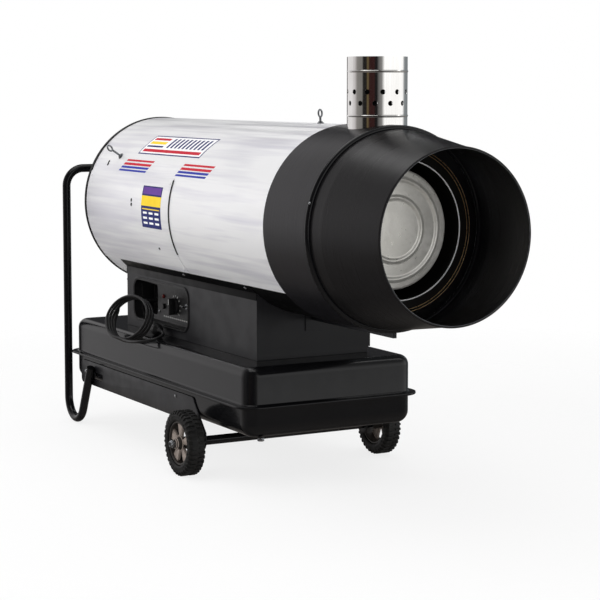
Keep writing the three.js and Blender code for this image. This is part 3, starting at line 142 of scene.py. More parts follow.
TRAY_CORNER = 30
TRAY_DEPTH = 26
TRAY_SHEET = 2
TRAY_LIP = 6
POCKET_X, POCKET_Z = (181, 288), (368, 458)
POCKET_DEPTH = 64
KNOB_AT = (411, 406)
KNOB_RADIUS = 25
KNOB_SKIRT = 6
KNOB_GRIP = (13, 17)
TOGGLE_AT = (497, 414)
BUTTON_AT = (331, 398)
LAMP_AT = (331, 428)
LEAD_RADIUS = 4.25
GLAND_AT = (232, 405)
GLAND_RADIUS = 11
GLAND_LENGTH = 16
TANK_X = (-107, 1080)
TANK_HALF = 252
TANK_FLANGE = 21
TANK_FLANGE_SHEET = 3
TANK_SHEET = 1.5
TANK_SEAM = 219
TANK_TOP, TANK_BOTTOM = 322, 136
TANK_CORNER = 40
TANK_TOP_ROUND, TANK_BOTTOM_ROUND = 26, 34
WHEEL_PLACE = 811
WHEEL_RADIUS = 89
WHEEL_WIDTH = 48
WHEEL_FACE = 330
RIM_RADIUS = 60
AXLE_HEIGHT = 88.745
AXLE_RADIUS = 12.5
AXLE_PIN = 8
TREAD_RISE = 3.5
TREAD_LUGS = 38
HANDLE_RADIUS = 12.5
HANDLE_REAR = -122
HANDLE_SIDE = 268.1
HANDLE_HEIGHT = 790
HANDLE_END = (60.8, 187)
HANDLE_LEAN = math.radians(25)
HANDLE_BENDS = (62, 55)
BRACKET_FACES = (252.3, 255.3)


# Shapes: corner places in millimetres with four-cornered faces and other faces

# A place past each arc's end, at this share of its reach, keeps the flat beside it flat. Two rings of a bar
# that would fall together stay apart by the gap.
GUARD_SHARE = 0.15
RING_GAP = 1e-3


def joined(*shapes):
    """Several shapes as one: points stacked, each shape's face numbers moved up by the points before it."""
    points, quads, others, start = [], [], [], 0
    for one_points, one_quads, one_others in shapes:
        points.append(one_points)
        quads.append(one_quads + start)
        others += [tuple(i + start for i in face) for face in one_others]
        start += len(one_points)
    return np.concatenate(points), np.concatenate(quads), others


def moved(shape, by):
    """The shape moved: p + by."""
    points, quads, others = shape
    return points + np.asarray(by, float), quads, others


def turned(shape, degrees, axis, about=(0, 0, 0)):
    """The shape turned round an axis through a point: about + R (p - about)."""
    points, quads, others = shape
    matrix = np.array(Matrix.Rotation(math.radians(degrees), 3, axis))
    centre = np.asarray(about, float)
    return (points - centre) @ matrix.T + centre, quads, others


def mirrored(shape):
    """The shape on the far side: (x, -y, z). Its faces are turned outward again when it is built."""
    points, quads, others = shape
    return points * [1, -1, 1], quads, others


def grid(places, wrap_rows=False, wrap_columns=False):
    """A surface over an array of rows by columns of places: one face between each four neighbours."""
    rows, columns = places.shape[:2]
    row = np.arange(rows if wrap_rows else rows - 1)[:, None]
    column = np.arange(columns if wrap_columns else columns - 1)[None, :]
    next_row, next_column = (row + 1) % rows, (column + 1) % columns
    corners = np.stack(np.broadcast_arrays(
        row * columns + column, next_row * columns + column,
        next_row * columns + next_column, row * columns + next_column), -1)
    return places.reshape(-1, 3), corners.reshape(-1, 4), []


def arc(centre, radius, start, end, steps):
    """Places on a circle in the plane: centre + radius (cos a, sin a), a from start to end in degrees."""
    angle = np.radians(np.linspace(start, end, steps + 1))
    return np.stack([centre[0] + radius * np.cos(angle), centre[1] + radius * np.sin(angle)], -1)


def rounded(corners, radii, steps=6, closed=True):
    """A line with each corner replaced by an arc of its radius r that touches both sides.
    It starts r / tan(half the corner's angle) from the corner c and runs along
    centre + (s sin((1 - k) w) + e sin(k w)) / sin w, with s and e its ends seen from the centre."""
    corners = [np.asarray(corner, float) for corner in corners]
    radii = [radii] * len(corners) if np.isscalar(radii) else list(radii)
    line = []
    for i, corner in enumerate(corners):
        if radii[i] <= 0 or (not closed and i in (0, len(corners) - 1)):
            line.append(corner)
            continue
        before = corners[i - 1] - corner
        after = corners[(i + 1) % len(corners)] - corner
        before, after = before / np.linalg.norm(before), after / np.linalg.norm(after)
        angle = math.acos(np.clip(before @ after, -1, 1))
        if angle > math.pi - 1e-4:
            line.append(corner)
            continue
        reach = radii[i] / math.tan(angle / 2)
        middle = (before + after) / np.linalg.norm(before + after)
        centre = corner + middle * radii[i] / math.sin(angle / 2)
        first, last = corner + before * reach - centre, corner + after * reach - centre
        sweep = math.pi - angle
        guard = GUARD_SHARE * reach
        line.append(corner + before * (reach + guard))
        for k in np.linspace(0, 1, steps + 1):
            spoke = first * math.sin((1 - k) * sweep) + last * math.sin(k * sweep)
            line.append(centre + spoke / math.sin(sweep))
        line.append(corner + after * (reach + guard))
    return np.array(line)


def rectangle(x, y, radius, steps=8):
    """A rectangle between x and y limits with corners of one radius."""
    corners = [(x[1], y[0]), (x[1], y[1]), (x[0], y[1]), (x[0], y[0])]
    return rounded(corners, radius, steps)


def grown(outline, by):
    """A closed outline moved outward by a distance: p + by (n1 + n2) / (1 + n1 . n2),
    with n1 and n2 the outward normals of the sides that meet at p."""
    keep = np.linalg.norm(outline - np.roll(outline, 1, 0), axis=1) > 1e-6
    outline = outline[keep]
    after = np.roll(outline, -1, 0) - outline
    after /= np.linalg.norm(after, axis=1)[:, None]
    area = np.sum(outline[:, 0] * np.roll(outline[:, 1], -1) - np.roll(outline[:, 0], -1) * outline[:, 1])
    normal = np.stack([after[:, 1], -after[:, 0]], -1) * np.sign(area)
    last = np.roll(normal, 1, 0)
    return outline + by * (normal + last) / (1 + np.sum(normal * last, 1))[:, None]


def laid(flat, depth, axis):
    """An outline at a depth along an axis: (x, depth, z) for Y, (depth, y, z) for X, (x, y, depth) for Z."""
    level = np.full(len(flat), float(depth))
    order = {"X": (level, flat[:, 0], flat[:, 1]), "Y": (flat[:, 0], level, flat[:, 1]),
             "Z": (flat[:, 0], flat[:, 1], level)}[axis]
    return np.stack(order, -1)


def prism(outline, depths, axis, edge=0.0, steps=3):
    """An outline between two depths, its edges rounded: at a turn a of the edge radius e the ring
    lies e (1 - cos a) in from the end and is drawn in by e (1 - sin a)."""
    outline = grown(np.asarray(outline, float), 0)
    low, high = depths
    turns = np.linspace(0, math.pi / 2, steps + 1) if edge else np.array([math.pi / 2])
    edges = [(edge * (1 - math.sin(a)), edge * (1 - math.cos(a))) for a in turns]
    rings = [laid(grown(outline, -inset), low + rise, axis) for inset, rise in edges]
    rings += [laid(grown(outline, -inset), high - rise, axis) for inset, rise in edges[::-1]]
    points, quads, _ = grid(np.array(rings), wrap_columns=True)
    count = len(rings[0])
    first, last = tuple(range(count)), tuple(range(len(points) - count, len(points)))
    return points, quads, [first, last]


def block(x, y, z, edge=0.4):
    """A box with rounded edges between limits."""
    return prism([(x[0], y[0]), (x[1], y[0]), (x[1], y[1]), (x[0], y[1])], z, "Z", edge, 2)


def lathe(profile, axis, centre=(0, 0, 0), sides=96, closed=False):
    """A profile of (place along, radius r) turned round an axis: centre + along + r (cos a, sin a)."""
    profile = np.asarray(profile, float)
    angle = np.radians(np.arange(sides) * 360 / sides)[:, None]
    along = np.broadcast_to(profile[:, 0], (sides, len(profile)))
    one, two = profile[:, 1] * np.cos(angle), profile[:, 1] * np.sin(angle)
    order = {"X": (along, one, two), "Y": (two, along, one), "Z": (one, two, along)}[axis]
    return moved(grid(np.stack(order, -1), wrap_rows=True, wrap_columns=closed), centre)


def tube(path, radius, sides=16, closed=False):
    """A round bar along a path: p + r (u cos a + v sin a), u and v carried along without twisting.
    The radius may change along it, and each end closes on its middle."""
    path = np.asarray(path, float)
    count = len(path)
    radius = np.broadcast_to(np.asarray(radius, float), count)
    if closed:
        way = np.roll(path, -1, 0) - np.roll(path, 1, 0)
    else:
        way = np.gradient(path, axis=0)
    way /= np.linalg.norm(way, axis=1)[:, None]
    side = np.cross(way[0], [0, 0, 1] if abs(way[0][2]) < 0.9 else [1, 0, 0])
    sides_angle = np.radians(np.arange(sides) * 360 / sides)[:, None]
    rings = []
    for place, along, r in zip(path, way, radius):
        side = side - along * (side @ along)
        side /= np.linalg.norm(side)
        other = np.cross(along, side)
        rings.append(place + r * (np.cos(sides_angle) * side + np.sin(sides_angle) * other))
    if not closed:
        rings = [np.tile(path[0], (sides, 1)), *rings, np.tile(path[-1], (sides, 1))]
    return grid(np.array(rings), wrap_rows=closed, wrap_columns=True)


def rod(start, end, radius, edge=0.0, sides=24):
    """A straight round bar between two places, with its end edges rounded."""
    start, end = np.asarray(start, float), np.asarray(end, float)
    way = (end - start) / np.linalg.norm(end - start)
    steps = np.linspace(0, math.pi / 2, 4) if edge else np.array([math.pi / 2])
    path = [start + way * (edge * (1 - math.cos(a)) + RING_GAP * i) for i, a in enumerate(steps)]
    radii = [radius - edge * (1 - math.sin(a)) for a in steps]
    path += [end - way * (edge * (1 - math.cos(a)) + RING_GAP * i) for i, a in enumerate(steps)][::-1]
    return tube(path, radii + radii[::-1], sides)


def ring(centre, radius, wire, axis, sides=64):
    """A round wire bent to a circle."""
    return lathe(arc((0, radius), wire, 0, 345, 23), axis, centre, sides, closed=True)


def domed(radius, rise, foot, steps=5):
    """Profile of a domed screw head: from its foot up the side and over to the middle."""
    side = arc((0, 0), 1, 0, 90, steps)
    return [(0, 0), (0, radius), *[(foot + rise * s, radius * c) for c, s in side]]


# Pieces

def to_mesh(name, shape):
    """A mesh with its corners and faces written as whole arrays, doubled corners merged, faces outward."""
    points, quads, others = shape
    loops = np.concatenate([quads.ravel(), *[np.array(face) for face in others]]).astype(np.int32)
    sizes = np.array([4] * len(quads) + [len(face) for face in others], np.int32)
    mesh = bpy.data.meshes.new(name)
    mesh.vertices.add(len(points))
    mesh.vertices.foreach_set("co", metres(points).astype(np.float32).ravel())
    mesh.loops.add(len(loops))
    mesh.loops.foreach_set("vertex_index", loops)
    mesh.polygons.add(len(sizes))
    mesh.polygons.foreach_set("loop_start", np.concatenate([[0], np.cumsum(sizes)[:-1]]).astype(np.int32))
    mesh.update(calc_edges=True)
    work = bmesh.new()
    work.from_mesh(mesh)
    bmesh.ops.remove_doubles(work, verts=work.verts, dist=2e-6)
    bmesh.ops.dissolve_degenerate(work, edges=work.edges, dist=1e-7)
    bmesh.ops.recalc_face_normals(work, faces=work.faces)
    work.to_mesh(mesh)
    work.free()
    return mesh


def shade(mesh, crease):
    """Smooth faces with sharp edges where faces meet at more than the crease angle."""
    mesh.polygons.foreach_set("use_smooth", np.ones(len(mesh.polygons), bool))
    mesh.set_sharp_from_angle(angle=math.radians(crease))


def placed(name, mesh):
    """A new object in the scene that shows a mesh."""
    obj = bpy.data.objects.new(name, mesh)
    bpy.context.scene.collection.objects.link(obj)
    return obj


def settled(obj):
    """The object's mesh with its modifiers worked in."""
    bpy.context.view_layer.update()
    evaluated = obj.evaluated_get(bpy.context.evaluated_depsgraph_get())
    mesh = bpy.data.meshes.new_from_object(evaluated)
    obj.modifiers.clear()
    obj.data = mesh
    return obj


def cut(obj, tools, operation="DIFFERENCE"):
    """The object with shapes cut from it or added to it."""
    for tool in tools:
        cutter = placed(obj.name + "_tool", to_mesh(obj.name + "_tool", tool))
        change = obj.modifiers.new("change", "BOOLEAN")
        change.operation = operation
        change.solver = "EXACT"
        change.object = cutter
        settled(obj)
        bpy.data.objects.remove(cutter)
    return obj


def carved(name, shape, tools, operation="DIFFERENCE"):
    """A shape with others cut from it or added to it."""
    return cut(placed(name, to_mesh(name, shape)), tools, operation)


def piece(name, shape, look, nodes=(), body="chassis", crease=35):
    """A finished piece from a shape, or from an object that is already cut to shape."""
    obj = shape if isinstance(shape, bpy.types.Object) else placed(name, to_mesh(name, shape))
    material, slot = look
    obj.data.materials.clear()
    obj.data.materials.append(material)
    shade(obj.data, crease)
    if nodes:
        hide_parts(*([nodes] if isinstance(nodes, str) else nodes))
    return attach(obj, body)


# Materials

def linear(code):
    """A colour written as sRGB hex in the linear values of the shader: ((c + 0.055) / 1.055) ** 2.4."""
    channels = [int(code[i:i + 2], 16) / 255 for i in (0, 2, 4)]
    return tuple(c / 12.92 if c <= 0.04045 else ((c + 0.055) / 1.055) ** 2.4 for c in channels) + (1,)


def add(tree, kind, inputs=None, **settings):
    """A node of a kind with its settings and, for each socket, a value or another node's output."""
    made = tree.nodes.new(kind)
    for key, value in settings.items():
        setattr(made, key, value)
    for key, value in (inputs or {}).items():
        if isinstance(value, bpy.types.NodeSocket):
            tree.links.new(value, made.inputs[key])
        else:
            made.inputs[key].default_value = value
    return made


def grains(tree, size, detail=2.0, rough=0.5):
    """A noise whose grain has a size in millimetres, one for all ways or one along each axis."""
    size = (size,) * 3 if np.isscalar(size) else size
    coordinates = add(tree, "ShaderNodeTexCoord").outputs["Object"]
    place = add(tree, "ShaderNodeMapping", {
        "Vector": coordinates, "Scale": tuple(1 / (length * MM) for length in size)}).outputs[0]
    return add(tree, "ShaderNodeTexNoise", {
        "Vector": place, "Scale": 1.0, "Detail": detail, "Roughness": rough}).outputs["Fac"]


def surface(name, patterns, dark, light, rough, depth, edge=0.0, **values):
    """A material made from three patterns: the first mixes its two colours, the second spreads its roughness
    between two values, the third lifts it by a real height in millimetres, over edges rounded by a radius.
    Uniform values go on the shader's own sockets."""
    material = bpy.data.materials.new(name)
    material.use_nodes = True
    tree = material.node_tree
    tree.nodes.clear()
    tone, wear, height = patterns(tree)
    colours = {0: tone, 6: linear(dark), 7: linear(light)}
    inputs = {"Base Color": add(tree, "ShaderNodeMix", colours, data_type="RGBA").outputs[2]}
    inputs |= {key.replace("_", " "): value for key, value in values.items()}
    if wear:
        levels = {"Value": wear, "From Min": 0.3, "From Max": 0.7, "To Min": rough[0], "To Max": rough[1]}
        inputs["Roughness"] = add(tree, "ShaderNodeMapRange", levels).outputs[0]
    if height:
        bump = {"Height": height, "Distance": depth * MM, "Strength": 1.0}
        if edge:
            bump["Normal"] = add(tree, "ShaderNodeBevel", {"Radius": edge * MM}, samples=4).outputs[0]
        inputs["Normal"] = add(tree, "ShaderNodeBump", bump).outputs[0]
    shader = add(tree, "ShaderNodeBsdfPrincipled", inputs)
    add(tree, "ShaderNodeOutputMaterial", {"Surface": shader.outputs["BSDF"]})
    return material


def noises(*sizes):
    """Patterns for surface(): a noise for each grain size and detail."""
    return lambda tree: [grains(tree, size, detail) for size, detail in sizes]


def painted(name, dark, light, gloss, peel, edge=0.0, sheen=0.3):
    """Black powder coat: an orange peel of the given height gives the slightly broken reflection,
    a slow change of shade and gloss keeps large faces from looking flat."""
    return surface(name, noises((160, 3), (40, 4), (2.2, 2)), dark, light, (gloss * 0.85, gloss * 1.2),
                   peel, edge, IOR=1.5, Specular_IOR_Level=sheen)


def rolled(name, dark, light, rough, grain, depth, metal=1.0, cloud=180, wave=0.0, sheen=0.5, spread_to=0.42,
           detail=5):
    """Metal sheet with its rolling or brushing lines: a noise drawn out along the grain changes roughness
    and height, a slow cloud changes the shade. Where the sheet waves, the wave alone is its height."""
    def patterns(tree):
        lines = grains(tree, grain, detail, 0.6)
        clouds = grains(tree, (cloud * 2.5, cloud * 0.5, cloud * 0.5), 3)
        both = add(tree, "ShaderNodeMath", {0: lines, 1: clouds}, operation="MULTIPLY").outputs[0]
        tone = add(tree, "ShaderNodeMapRange", {"Value": both, "From Min": 0.12, "From Max": spread_to})
        return tone.outputs[0], lines, grains(tree, 30, 1) if wave else lines

    return surface(name, patterns, dark, light, (rough * 0.75, rough * 1.3), wave or depth,
                   Metallic=metal, Specular_IOR_Level=sheen)


def plain_metal(name, dark, light, rough, grain=0.6, depth=0.01):
    """Plated or cast metal: a fine grain in roughness and height, faint blotches in colour."""
    return surface(name, noises((14, 4), (5, 3), (grain, 3)), dark, light, (rough * 0.8, rough * 1.25), depth,
                   Metallic=1.0)


def moulded(name, dark, light, rough, grain, depth):
    """Moulded rubber or plastic: a fine texture of the mould and slow wear of its sheen."""
    return surface(name, noises((30, 4), (9, 4), (grain, 2)), dark, light, (rough * 0.85, rough * 1.15),
                   depth, IOR=1.47)


def film(name, dark, light):
    """Coloured vinyl film: smooth, with hardly any sheen, its colour a little uneven."""
    return surface(name, lambda tree: (grains(tree, 30, 4), None, None), dark, light, None, 0,
                   IOR=1.5, Specular_IOR_Level=0.15, Roughness=0.55)


LOOKS = {
    # Galvanised steel sheet of the drum: long soft rolling streaks along X, satin, almost white in the light
    "sheet": (rolled("galvanised_steel_sheet", "e0dfe6", "fbfbfc", 0.44, (520, 24, 24), 0.002, 0.5, 300,
                     spread_to=0.27, detail=2.5), "bright_steel"),
    # Polished stainless of the flue: hardly any roughness, so that it mirrors the room in upright bands
    "stainless": (rolled("polished_stainless_steel", "e2e0dd", "f4f3f1", 0.09, (2, 2, 200), 0.0015,
                         wave=0.06), "stainless"),
    # Aluminised steel in the hot parts: pale, matt, warm
    "heat": (rolled("aluminised_steel", "e2e0d8", "f6f4ee", 0.34, (14, 14, 14), 0.012, 0.6), "heat_steel"),
    # The brown-gold tint that heat leaves on the rolled edge round the shield
    "tinted": (plain_metal("heat_tinted_steel", "a98a63", "e0c49a", 0.3), "heat_steel"),
    # Sheet blackened by heat inside the outlet: matt, nearly black
    "soot": (painted("heat_blackened_steel", "070706", "110f0d", 0.45, 0.02), "heat_steel"),
    # Gloss black powder coat of the tank and the handle
    "tank": (painted("gloss_black_powder_coat", "0a0a0b", "101012", 0.15, 0.003, sheen=0.3), "black_paint"),
    # Satin black powder coat of the box and the brackets
    "box": (painted("satin_black_powder_coat", "111113", "19191c", 0.34, 0.01, 1.0), "black_paint"),
    # The same coat, darker and duller as painted shade of the gap under the drum, on strips with rounded
    # edges
    "shaded_strip": (painted("satin_black_powder_coat_darkened_as_shade", "060607", "0c0c0d", 0.36, 0.01, sheen=0.1),
              "black_paint"),
    # Black stove paint over sheet brushed round the collar: the brushing shows faintly in its satin sheen
    "collar": (rolled("black_stove_paint", "131214", "1c1b1f", 0.34, (1.4, 300, 300), 0.003, 0.0, sheen=0.3),
               "black_paint"),
    # The same paint on the spun cone: smoother, and darker as painted shade
    "cone": (rolled("black_stove_paint_on_spun_sheet_shaded", "0c0b0c", "141315", 0.32, (1.6, 300, 300), 0.002, 0.0,
                    sheen=0.3), "black_paint"),
    # Bright zinc plating on bolts, screws and the guard
    "zinc": (plain_metal("zinc_plating", "a9acb0", "ced1d5", 0.26), "zinc"),
    # Duller plating on the eye bolts: grey
    "bolt": (plain_metal("dull_zinc_plating", "6f7275", "9a9da1", 0.36), "zinc"),
    # Cast aluminium of the motor and fan: grey, with the grain of the mould
    "cast": (plain_metal("cast_aluminium", "8e9194", "b1b4b7", 0.45, 1.5, 0.05), "aluminium"),
    # Turned brass of the nozzle and the pump
    "brass": (plain_metal("machined_brass", "9a7a3c", "b9964f", 0.3), "brass"),
    # Drawn copper of the fuel lines
    "copper": (plain_metal("copper_tube", "8f5635", "b3714b", 0.3), "copper"),
    # Moulded black plastic of the tray, the knob and the cap
    "plastic": (moulded("moulded_black_plastic", "0c0c0d", "141415", 0.38, 1.1, 0.02), "black_plastic"),
    # Glass-filled nylon of the rims: a brownish black with a coarse mould grain
    "rim": (moulded("glass_filled_nylon", "1f1c1a", "302b27", 0.42, 1.4, 0.03), "black_plastic"),
    # Its spokes and hub: the same nylon in a lighter grey brown, painted light of their lit faces
    "spoke": (moulded("glass_filled_nylon_painted_lit", "7f746d", "a0938a", 0.5, 1.4, 0.03), "black_plastic"),
    # Soft rubber of the lead, the plug and the edge trims
    "rubber": (moulded("black_cord_rubber", "0b0b0c", "151516", 0.4, 0.8, 0.015), "rubber"),
    # Tyre rubber: matt, grained, dusty black
    "tyre": (moulded("tyre_rubber", "0d0d0d", "191918", 0.6, 2.0, 0.08), "tyre_rubber"),
    # Red plastic of the unlit lamp: dark, smooth
    "lens": (moulded("red_lamp_lens", "3a0c0b", "4d110f", 0.15, 1.5, 0.004), "red_lens"),
    # White ink printed on the tray
    "print": (moulded("white_screen_print", "c9c9c6", "dededb", 0.5, 1.0, 0.004), "black_plastic"),
    # Films stuck on the drum
    "red": (film("red_vinyl_film", "b81f30", "c92b3d"), "bright_steel"),
    "blue": (film("blue_vinyl_film", "2b3595", "3742a8"), "bright_steel"),
    "navy": (film("navy_vinyl_film", "23285c", "2d3270"), "bright_steel"),
    "yellow": (film("yellow_vinyl_film", "ecc62a", "f7d843"), "bright_steel"),
    "purple": (film("purple_vinyl_film", "5c3a88", "6e489c"), "bright_steel"),
    "white": (film("white_vinyl_film", "ececee", "f7f7f8"), "bright_steel"),
}


# Supply lead: one unbroken tube from the gland through the coil to the plug
COIL_CENTRE = np.array([318, -249, 367.0])
COIL_HALF_LENGTH, COIL_HALF_HEIGHT = 101, 66
COIL_TURNS = 3.25
COIL_PITCH = 10
COIL_YAW, COIL_LEAN = math.radians(8), math.radians(25)
COIL_STEPS = 48
GLAND_MOUTH = -BOX_HALF + POCKET_DEPTH - SEAT - GLAND_LENGTH
PLUG_RADIUS = 18
PLUG_REAR = np.array([440, -203, TANK_TOP + SEAT + PLUG_RADIUS])
PLUG_TURN = math.radians(172)
PLUG_LENGTH = 40
PLUG_RELIEF = 26
PLUG_NECK = 5.1
PIN_LENGTH, PIN_RADIUS, PIN_SIDE = 19, 2.4, 9.5
RELIEF_LENGTH, RELIEF_WALL, RELIEF_FLARE, RELIEF_RIB, RELIEF_RIPPLE = 26, 0.8, 2.6, 0.35, 34
GLAND_BORE = 4.4
START_MIDDLE = [(228, -160, 409), (214, -198, 415), (205, -229, 405)]
TAIL_MIDDLE = [(375, -288, 311), (420, -287, 313), (455, -281, 317), (480, -266, 322), (489, -241, 328),
               (477, -215, 334)]


def coil_line():
    """The oval helix: centre + u a cos t + w b sin t + n (t / 360 - turns / 2) pitch."""
    along = np.array([math.cos(COIL_YAW), math.sin(COIL_YAW), 0])
    out = np.array([math.sin(COIL_YAW), -math.cos(COIL_YAW), 0])
    up = np.array([0, 0, math.cos(COIL_LEAN)]) - out * math.sin(COIL_LEAN)
    axis = np.cross(along, up)
    turn = np.linspace(0, COIL_TURNS, round(COIL_TURNS * COIL_STEPS) + 1)[:, None]
    angle = math.pi + 2 * math.pi * turn
    return (COIL_CENTRE + along * COIL_HALF_LENGTH * np.cos(angle) + up * COIL_HALF_HEIGHT * np.sin(angle)
            + axis * (turn - COIL_TURNS / 2) * COIL_PITCH)


def stretch(points, steps=14):
    """A centripetal Catmull-Rom line: between p1 and p2 a cubic with the slopes
    m1 = (p1 - p0) / d0 - (p2 - p0) / (d0 + d1) + (p2 - p1) / d1, d the root of each distance."""
    points = np.asarray(points, float)
    ends = np.vstack([2 * points[0] - points[1], points, 2 * points[-1] - points[-2]])
    line = []
    for p0, p1, p2, p3 in zip(ends, ends[1:], ends[2:], ends[3:]):
        d0, d1, d2 = (math.sqrt(np.linalg.norm(b - a)) for a, b in ((p0, p1), (p1, p2), (p2, p3)))
        m1 = ((p1 - p0) / d0 - (p2 - p0) / (d0 + d1) + (p2 - p1) / d1) * d1
        m2 = ((p2 - p1) / d1 - (p3 - p1) / (d1 + d2) + (p3 - p2) / d2) * d1
        t = np.arange(steps)[:, None] / steps
        line.append((2 * t ** 3 - 3 * t ** 2 + 1) * p1 + (t ** 3 - 2 * t ** 2 + t) * m1
                    + (3 * t ** 2 - 2 * t ** 3) * p2 + (t ** 3 - t ** 2) * m2)
    return np.vstack([*line, points[-1:]])


coil = coil_line()
entry_way = (coil[1] - coil[0]) / np.linalg.norm(coil[1] - coil[0])
exit_way = (coil[-1] - coil[-2]) / np.linalg.norm(coil[-1] - coil[-2])
plug_way = np.array([math.cos(PLUG_TURN), math.sin(PLUG_TURN), 0])
lead_bore = np.array([GLAND_AT[0], GLAND_MOUTH - SEAT, GLAND_AT[1]])
coil_entry, coil_exit = coil[0] - entry_way * 2 * LEAD_RADIUS, coil[-1] + exit_way * 2 * LEAD_RADIUS
start_line = stretch([lead_bore, lead_bore + [0, -2 * LEAD_RADIUS, 0], *START_MIDDLE,
                      coil_entry - entry_way * 2 * LEAD_RADIUS, coil_entry])
tail_line = stretch([coil_exit, coil_exit + exit_way * 2 * LEAD_RADIUS, *TAIL_MIDDLE,
                     PLUG_REAR - plug_way * 2 * LEAD_RADIUS, PLUG_REAR + plug_way * SEAT])
lead_path = np.vstack([start_line, coil, tail_line])

lead_curve = bpy.data.curves.new("supply_lead", "CURVE")
lead_curve.dimensions = "3D"
lead_curve.bevel_depth = LEAD_RADIUS * MM
lead_curve.bevel_resolution = 5
lead_curve.use_fill_caps = True
spline = lead_curve.splines.new("POLY")
spline.points.add(len(lead_path) - 1)
spline.points.foreach_set("co", np.column_stack([metres(lead_path), np.ones(len(lead_path))]).ravel())
spline.use_smooth = True
lead = bpy.data.objects.new("supply_lead", lead_curve)
bpy.context.scene.collection.objects.link(lead)
lead_curve.materials.append(LOOKS["rubber"][0])
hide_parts("lead_start", "lead_coil", "lead_tail")
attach(lead, "chassis")

start_steps = np.linalg.norm(np.diff(start_line, axis=0), axis=1)
relief_reach = np.searchsorted(np.cumsum(start_steps), RELIEF_LENGTH)
relief_path = start_line[:relief_reach + 1]
relief_share = np.linspace(0, 1, len(relief_path))
relief_radius = (LEAD_RADIUS + RELIEF_WALL + (1 - relief_share) * RELIEF_FLARE
                 + RELIEF_RIB * np.cos(relief_share * RELIEF_RIPPLE))
lead_relief = piece("lead_relief", tube(relief_path, relief_radius, 20), LOOKS["rubber"])
gland_end = GLAND_MOUTH + GLAND_LENGTH
gland_profile = rounded([(GLAND_MOUTH, GLAND_BORE), (GLAND_MOUTH, GLAND_RADIUS), (gland_end, GLAND_RADIUS),
                         (gland_end, GLAND_BORE)], 1.2, 4)
piece("lead_gland", lathe(gland_profile, "Y", (GLAND_AT[0], 0, GLAND_AT[1]), 24, closed=True),
      LOOKS["plastic"], "cord_gland")

plug_neck = [(x, PLUG_NECK + PLUG_NECK / 2 * x / PLUG_RELIEF + 0.4 * math.cos(x * 1.9))
             for x in np.linspace(1, PLUG_RELIEF, 18)]
plug_profile = [(0, 0), (0, PLUG_NECK), *plug_neck]
plug_profile += list(rounded([
    (PLUG_RELIEF, 9), (PLUG_RELIEF + 9, 16.2), (PLUG_RELIEF + PLUG_RADIUS, PLUG_RADIUS),
    (PLUG_RELIEF + PLUG_LENGTH, PLUG_RADIUS), (PLUG_RELIEF + PLUG_LENGTH, 0)], [0, 6, 10, 1.5, 0], 6, False))


def on_plug(shape):
    """A shape built along X from the plug's rear, turned and moved to where the plug lies."""
    return moved(turned(shape, math.degrees(PLUG_TURN), "Z"), PLUG_REAR)


plug = piece("plug", on_plug(lathe(plug_profile, "X", sides=48)), LOOKS["rubber"], "plug_body")
pin_root = PLUG_RELIEF + PLUG_LENGTH + SEAT
pin = rod((pin_root, 0, 0), (pin_root + PIN_LENGTH, 0, 0), PIN_RADIUS, PIN_RADIUS / 2, 20)
for side, node in ((1, "plug_pin_left"), (-1, "plug_pin_right")):
    piece(node + "_round", on_plug(moved(pin, (0, side * PIN_SIDE, 0))), LOOKS["zinc"], node)

# Drum with its rolled rear edge and the hand opening behind the cover
ON_AXIS = (0, 0, AXIS_HEIGHT)
ROUND = 160
OVERRUN = 8
SUNK = 0.1
LAP_ANGLE = math.degrees(COVER_LAP / DRUM_RADIUS)
COVER_OUTER = COVER_INNER + DRUM_SHEET


def sector(angles, radii, steps):
    """An outline in Y and Z on the control side between two angles above the horizontal and two radii."""
    low, high = 180 - angles[1], 180 - angles[0]
    return np.vstack([arc((0, AXIS_HEIGHT), radii[1], low, high, steps),
                      arc((0, AXIS_HEIGHT), radii[0], high, low, steps)])


hem_start = math.degrees(math.asin((DRUM_HEM - DRUM_SHEET) / DRUM_HEM))
drum_profile = np.vstack([
    [(DRUM_FRONT, DRUM_RADIUS - DRUM_SHEET)],
    arc((DRUM_HEM, DRUM_RADIUS - DRUM_HEM), DRUM_HEM, hem_start, -270, 24),
    [(DRUM_FRONT, DRUM_RADIUS)]])
opening_outline = sector((COVER_LOW + LAP_ANGLE, COVER_TOP - LAP_ANGLE),
                         (DRUM_RADIUS - OVERRUN, DRUM_RADIUS + OVERRUN), 40)
hand_opening = prism(opening_outline, (COVER_REAR + COVER_LAP, COVER_FRONT - COVER_LAP), "X")
drum = carved("drum", lathe(drum_profile, "X", ON_AXIS, ROUND, closed=True), [hand_opening])
piece("drum", drum, LOOKS["sheet"], "drum_shell", crease=30)
cover_sheet = prism(sector((COVER_LOW, COVER_TOP), (COVER_INNER, COVER_OUTER), 64),
                    (COVER_REAR, COVER_FRONT), "X", 0.3, 2)
piece("cover", cover_sheet, LOOKS["sheet"], "access_cover")


def on_drum(shape, along, angle):
    """A shape built upright round Z, stood on the drum at a place along it and an angle above level."""
    return moved(turned(shape, 90 - angle, "X"), (along, 0, AXIS_HEIGHT))


def stud(radius, rise, height, foot=0.4):
    """A domed head upright round Z, from a height above the drum's axis."""
    return moved(lathe(domed(radius, rise, foot), "Z", sides=24), (0, 0, height))


cover_screw = stud(4.6, 2.4, COVER_OUTER - SUNK)
screw_angles = (COVER_TOP - LAP_ANGLE / 2, COVER_LOW + LAP_ANGLE / 2)
piece("cover_screws", joined(*[
    on_drum(cover_screw, along, angle)
    for along in (COVER_REAR + COVER_LAP / 2, COVER_FRONT - COVER_LAP / 2) for angle in screw_angles]),
    LOOKS["sheet"])

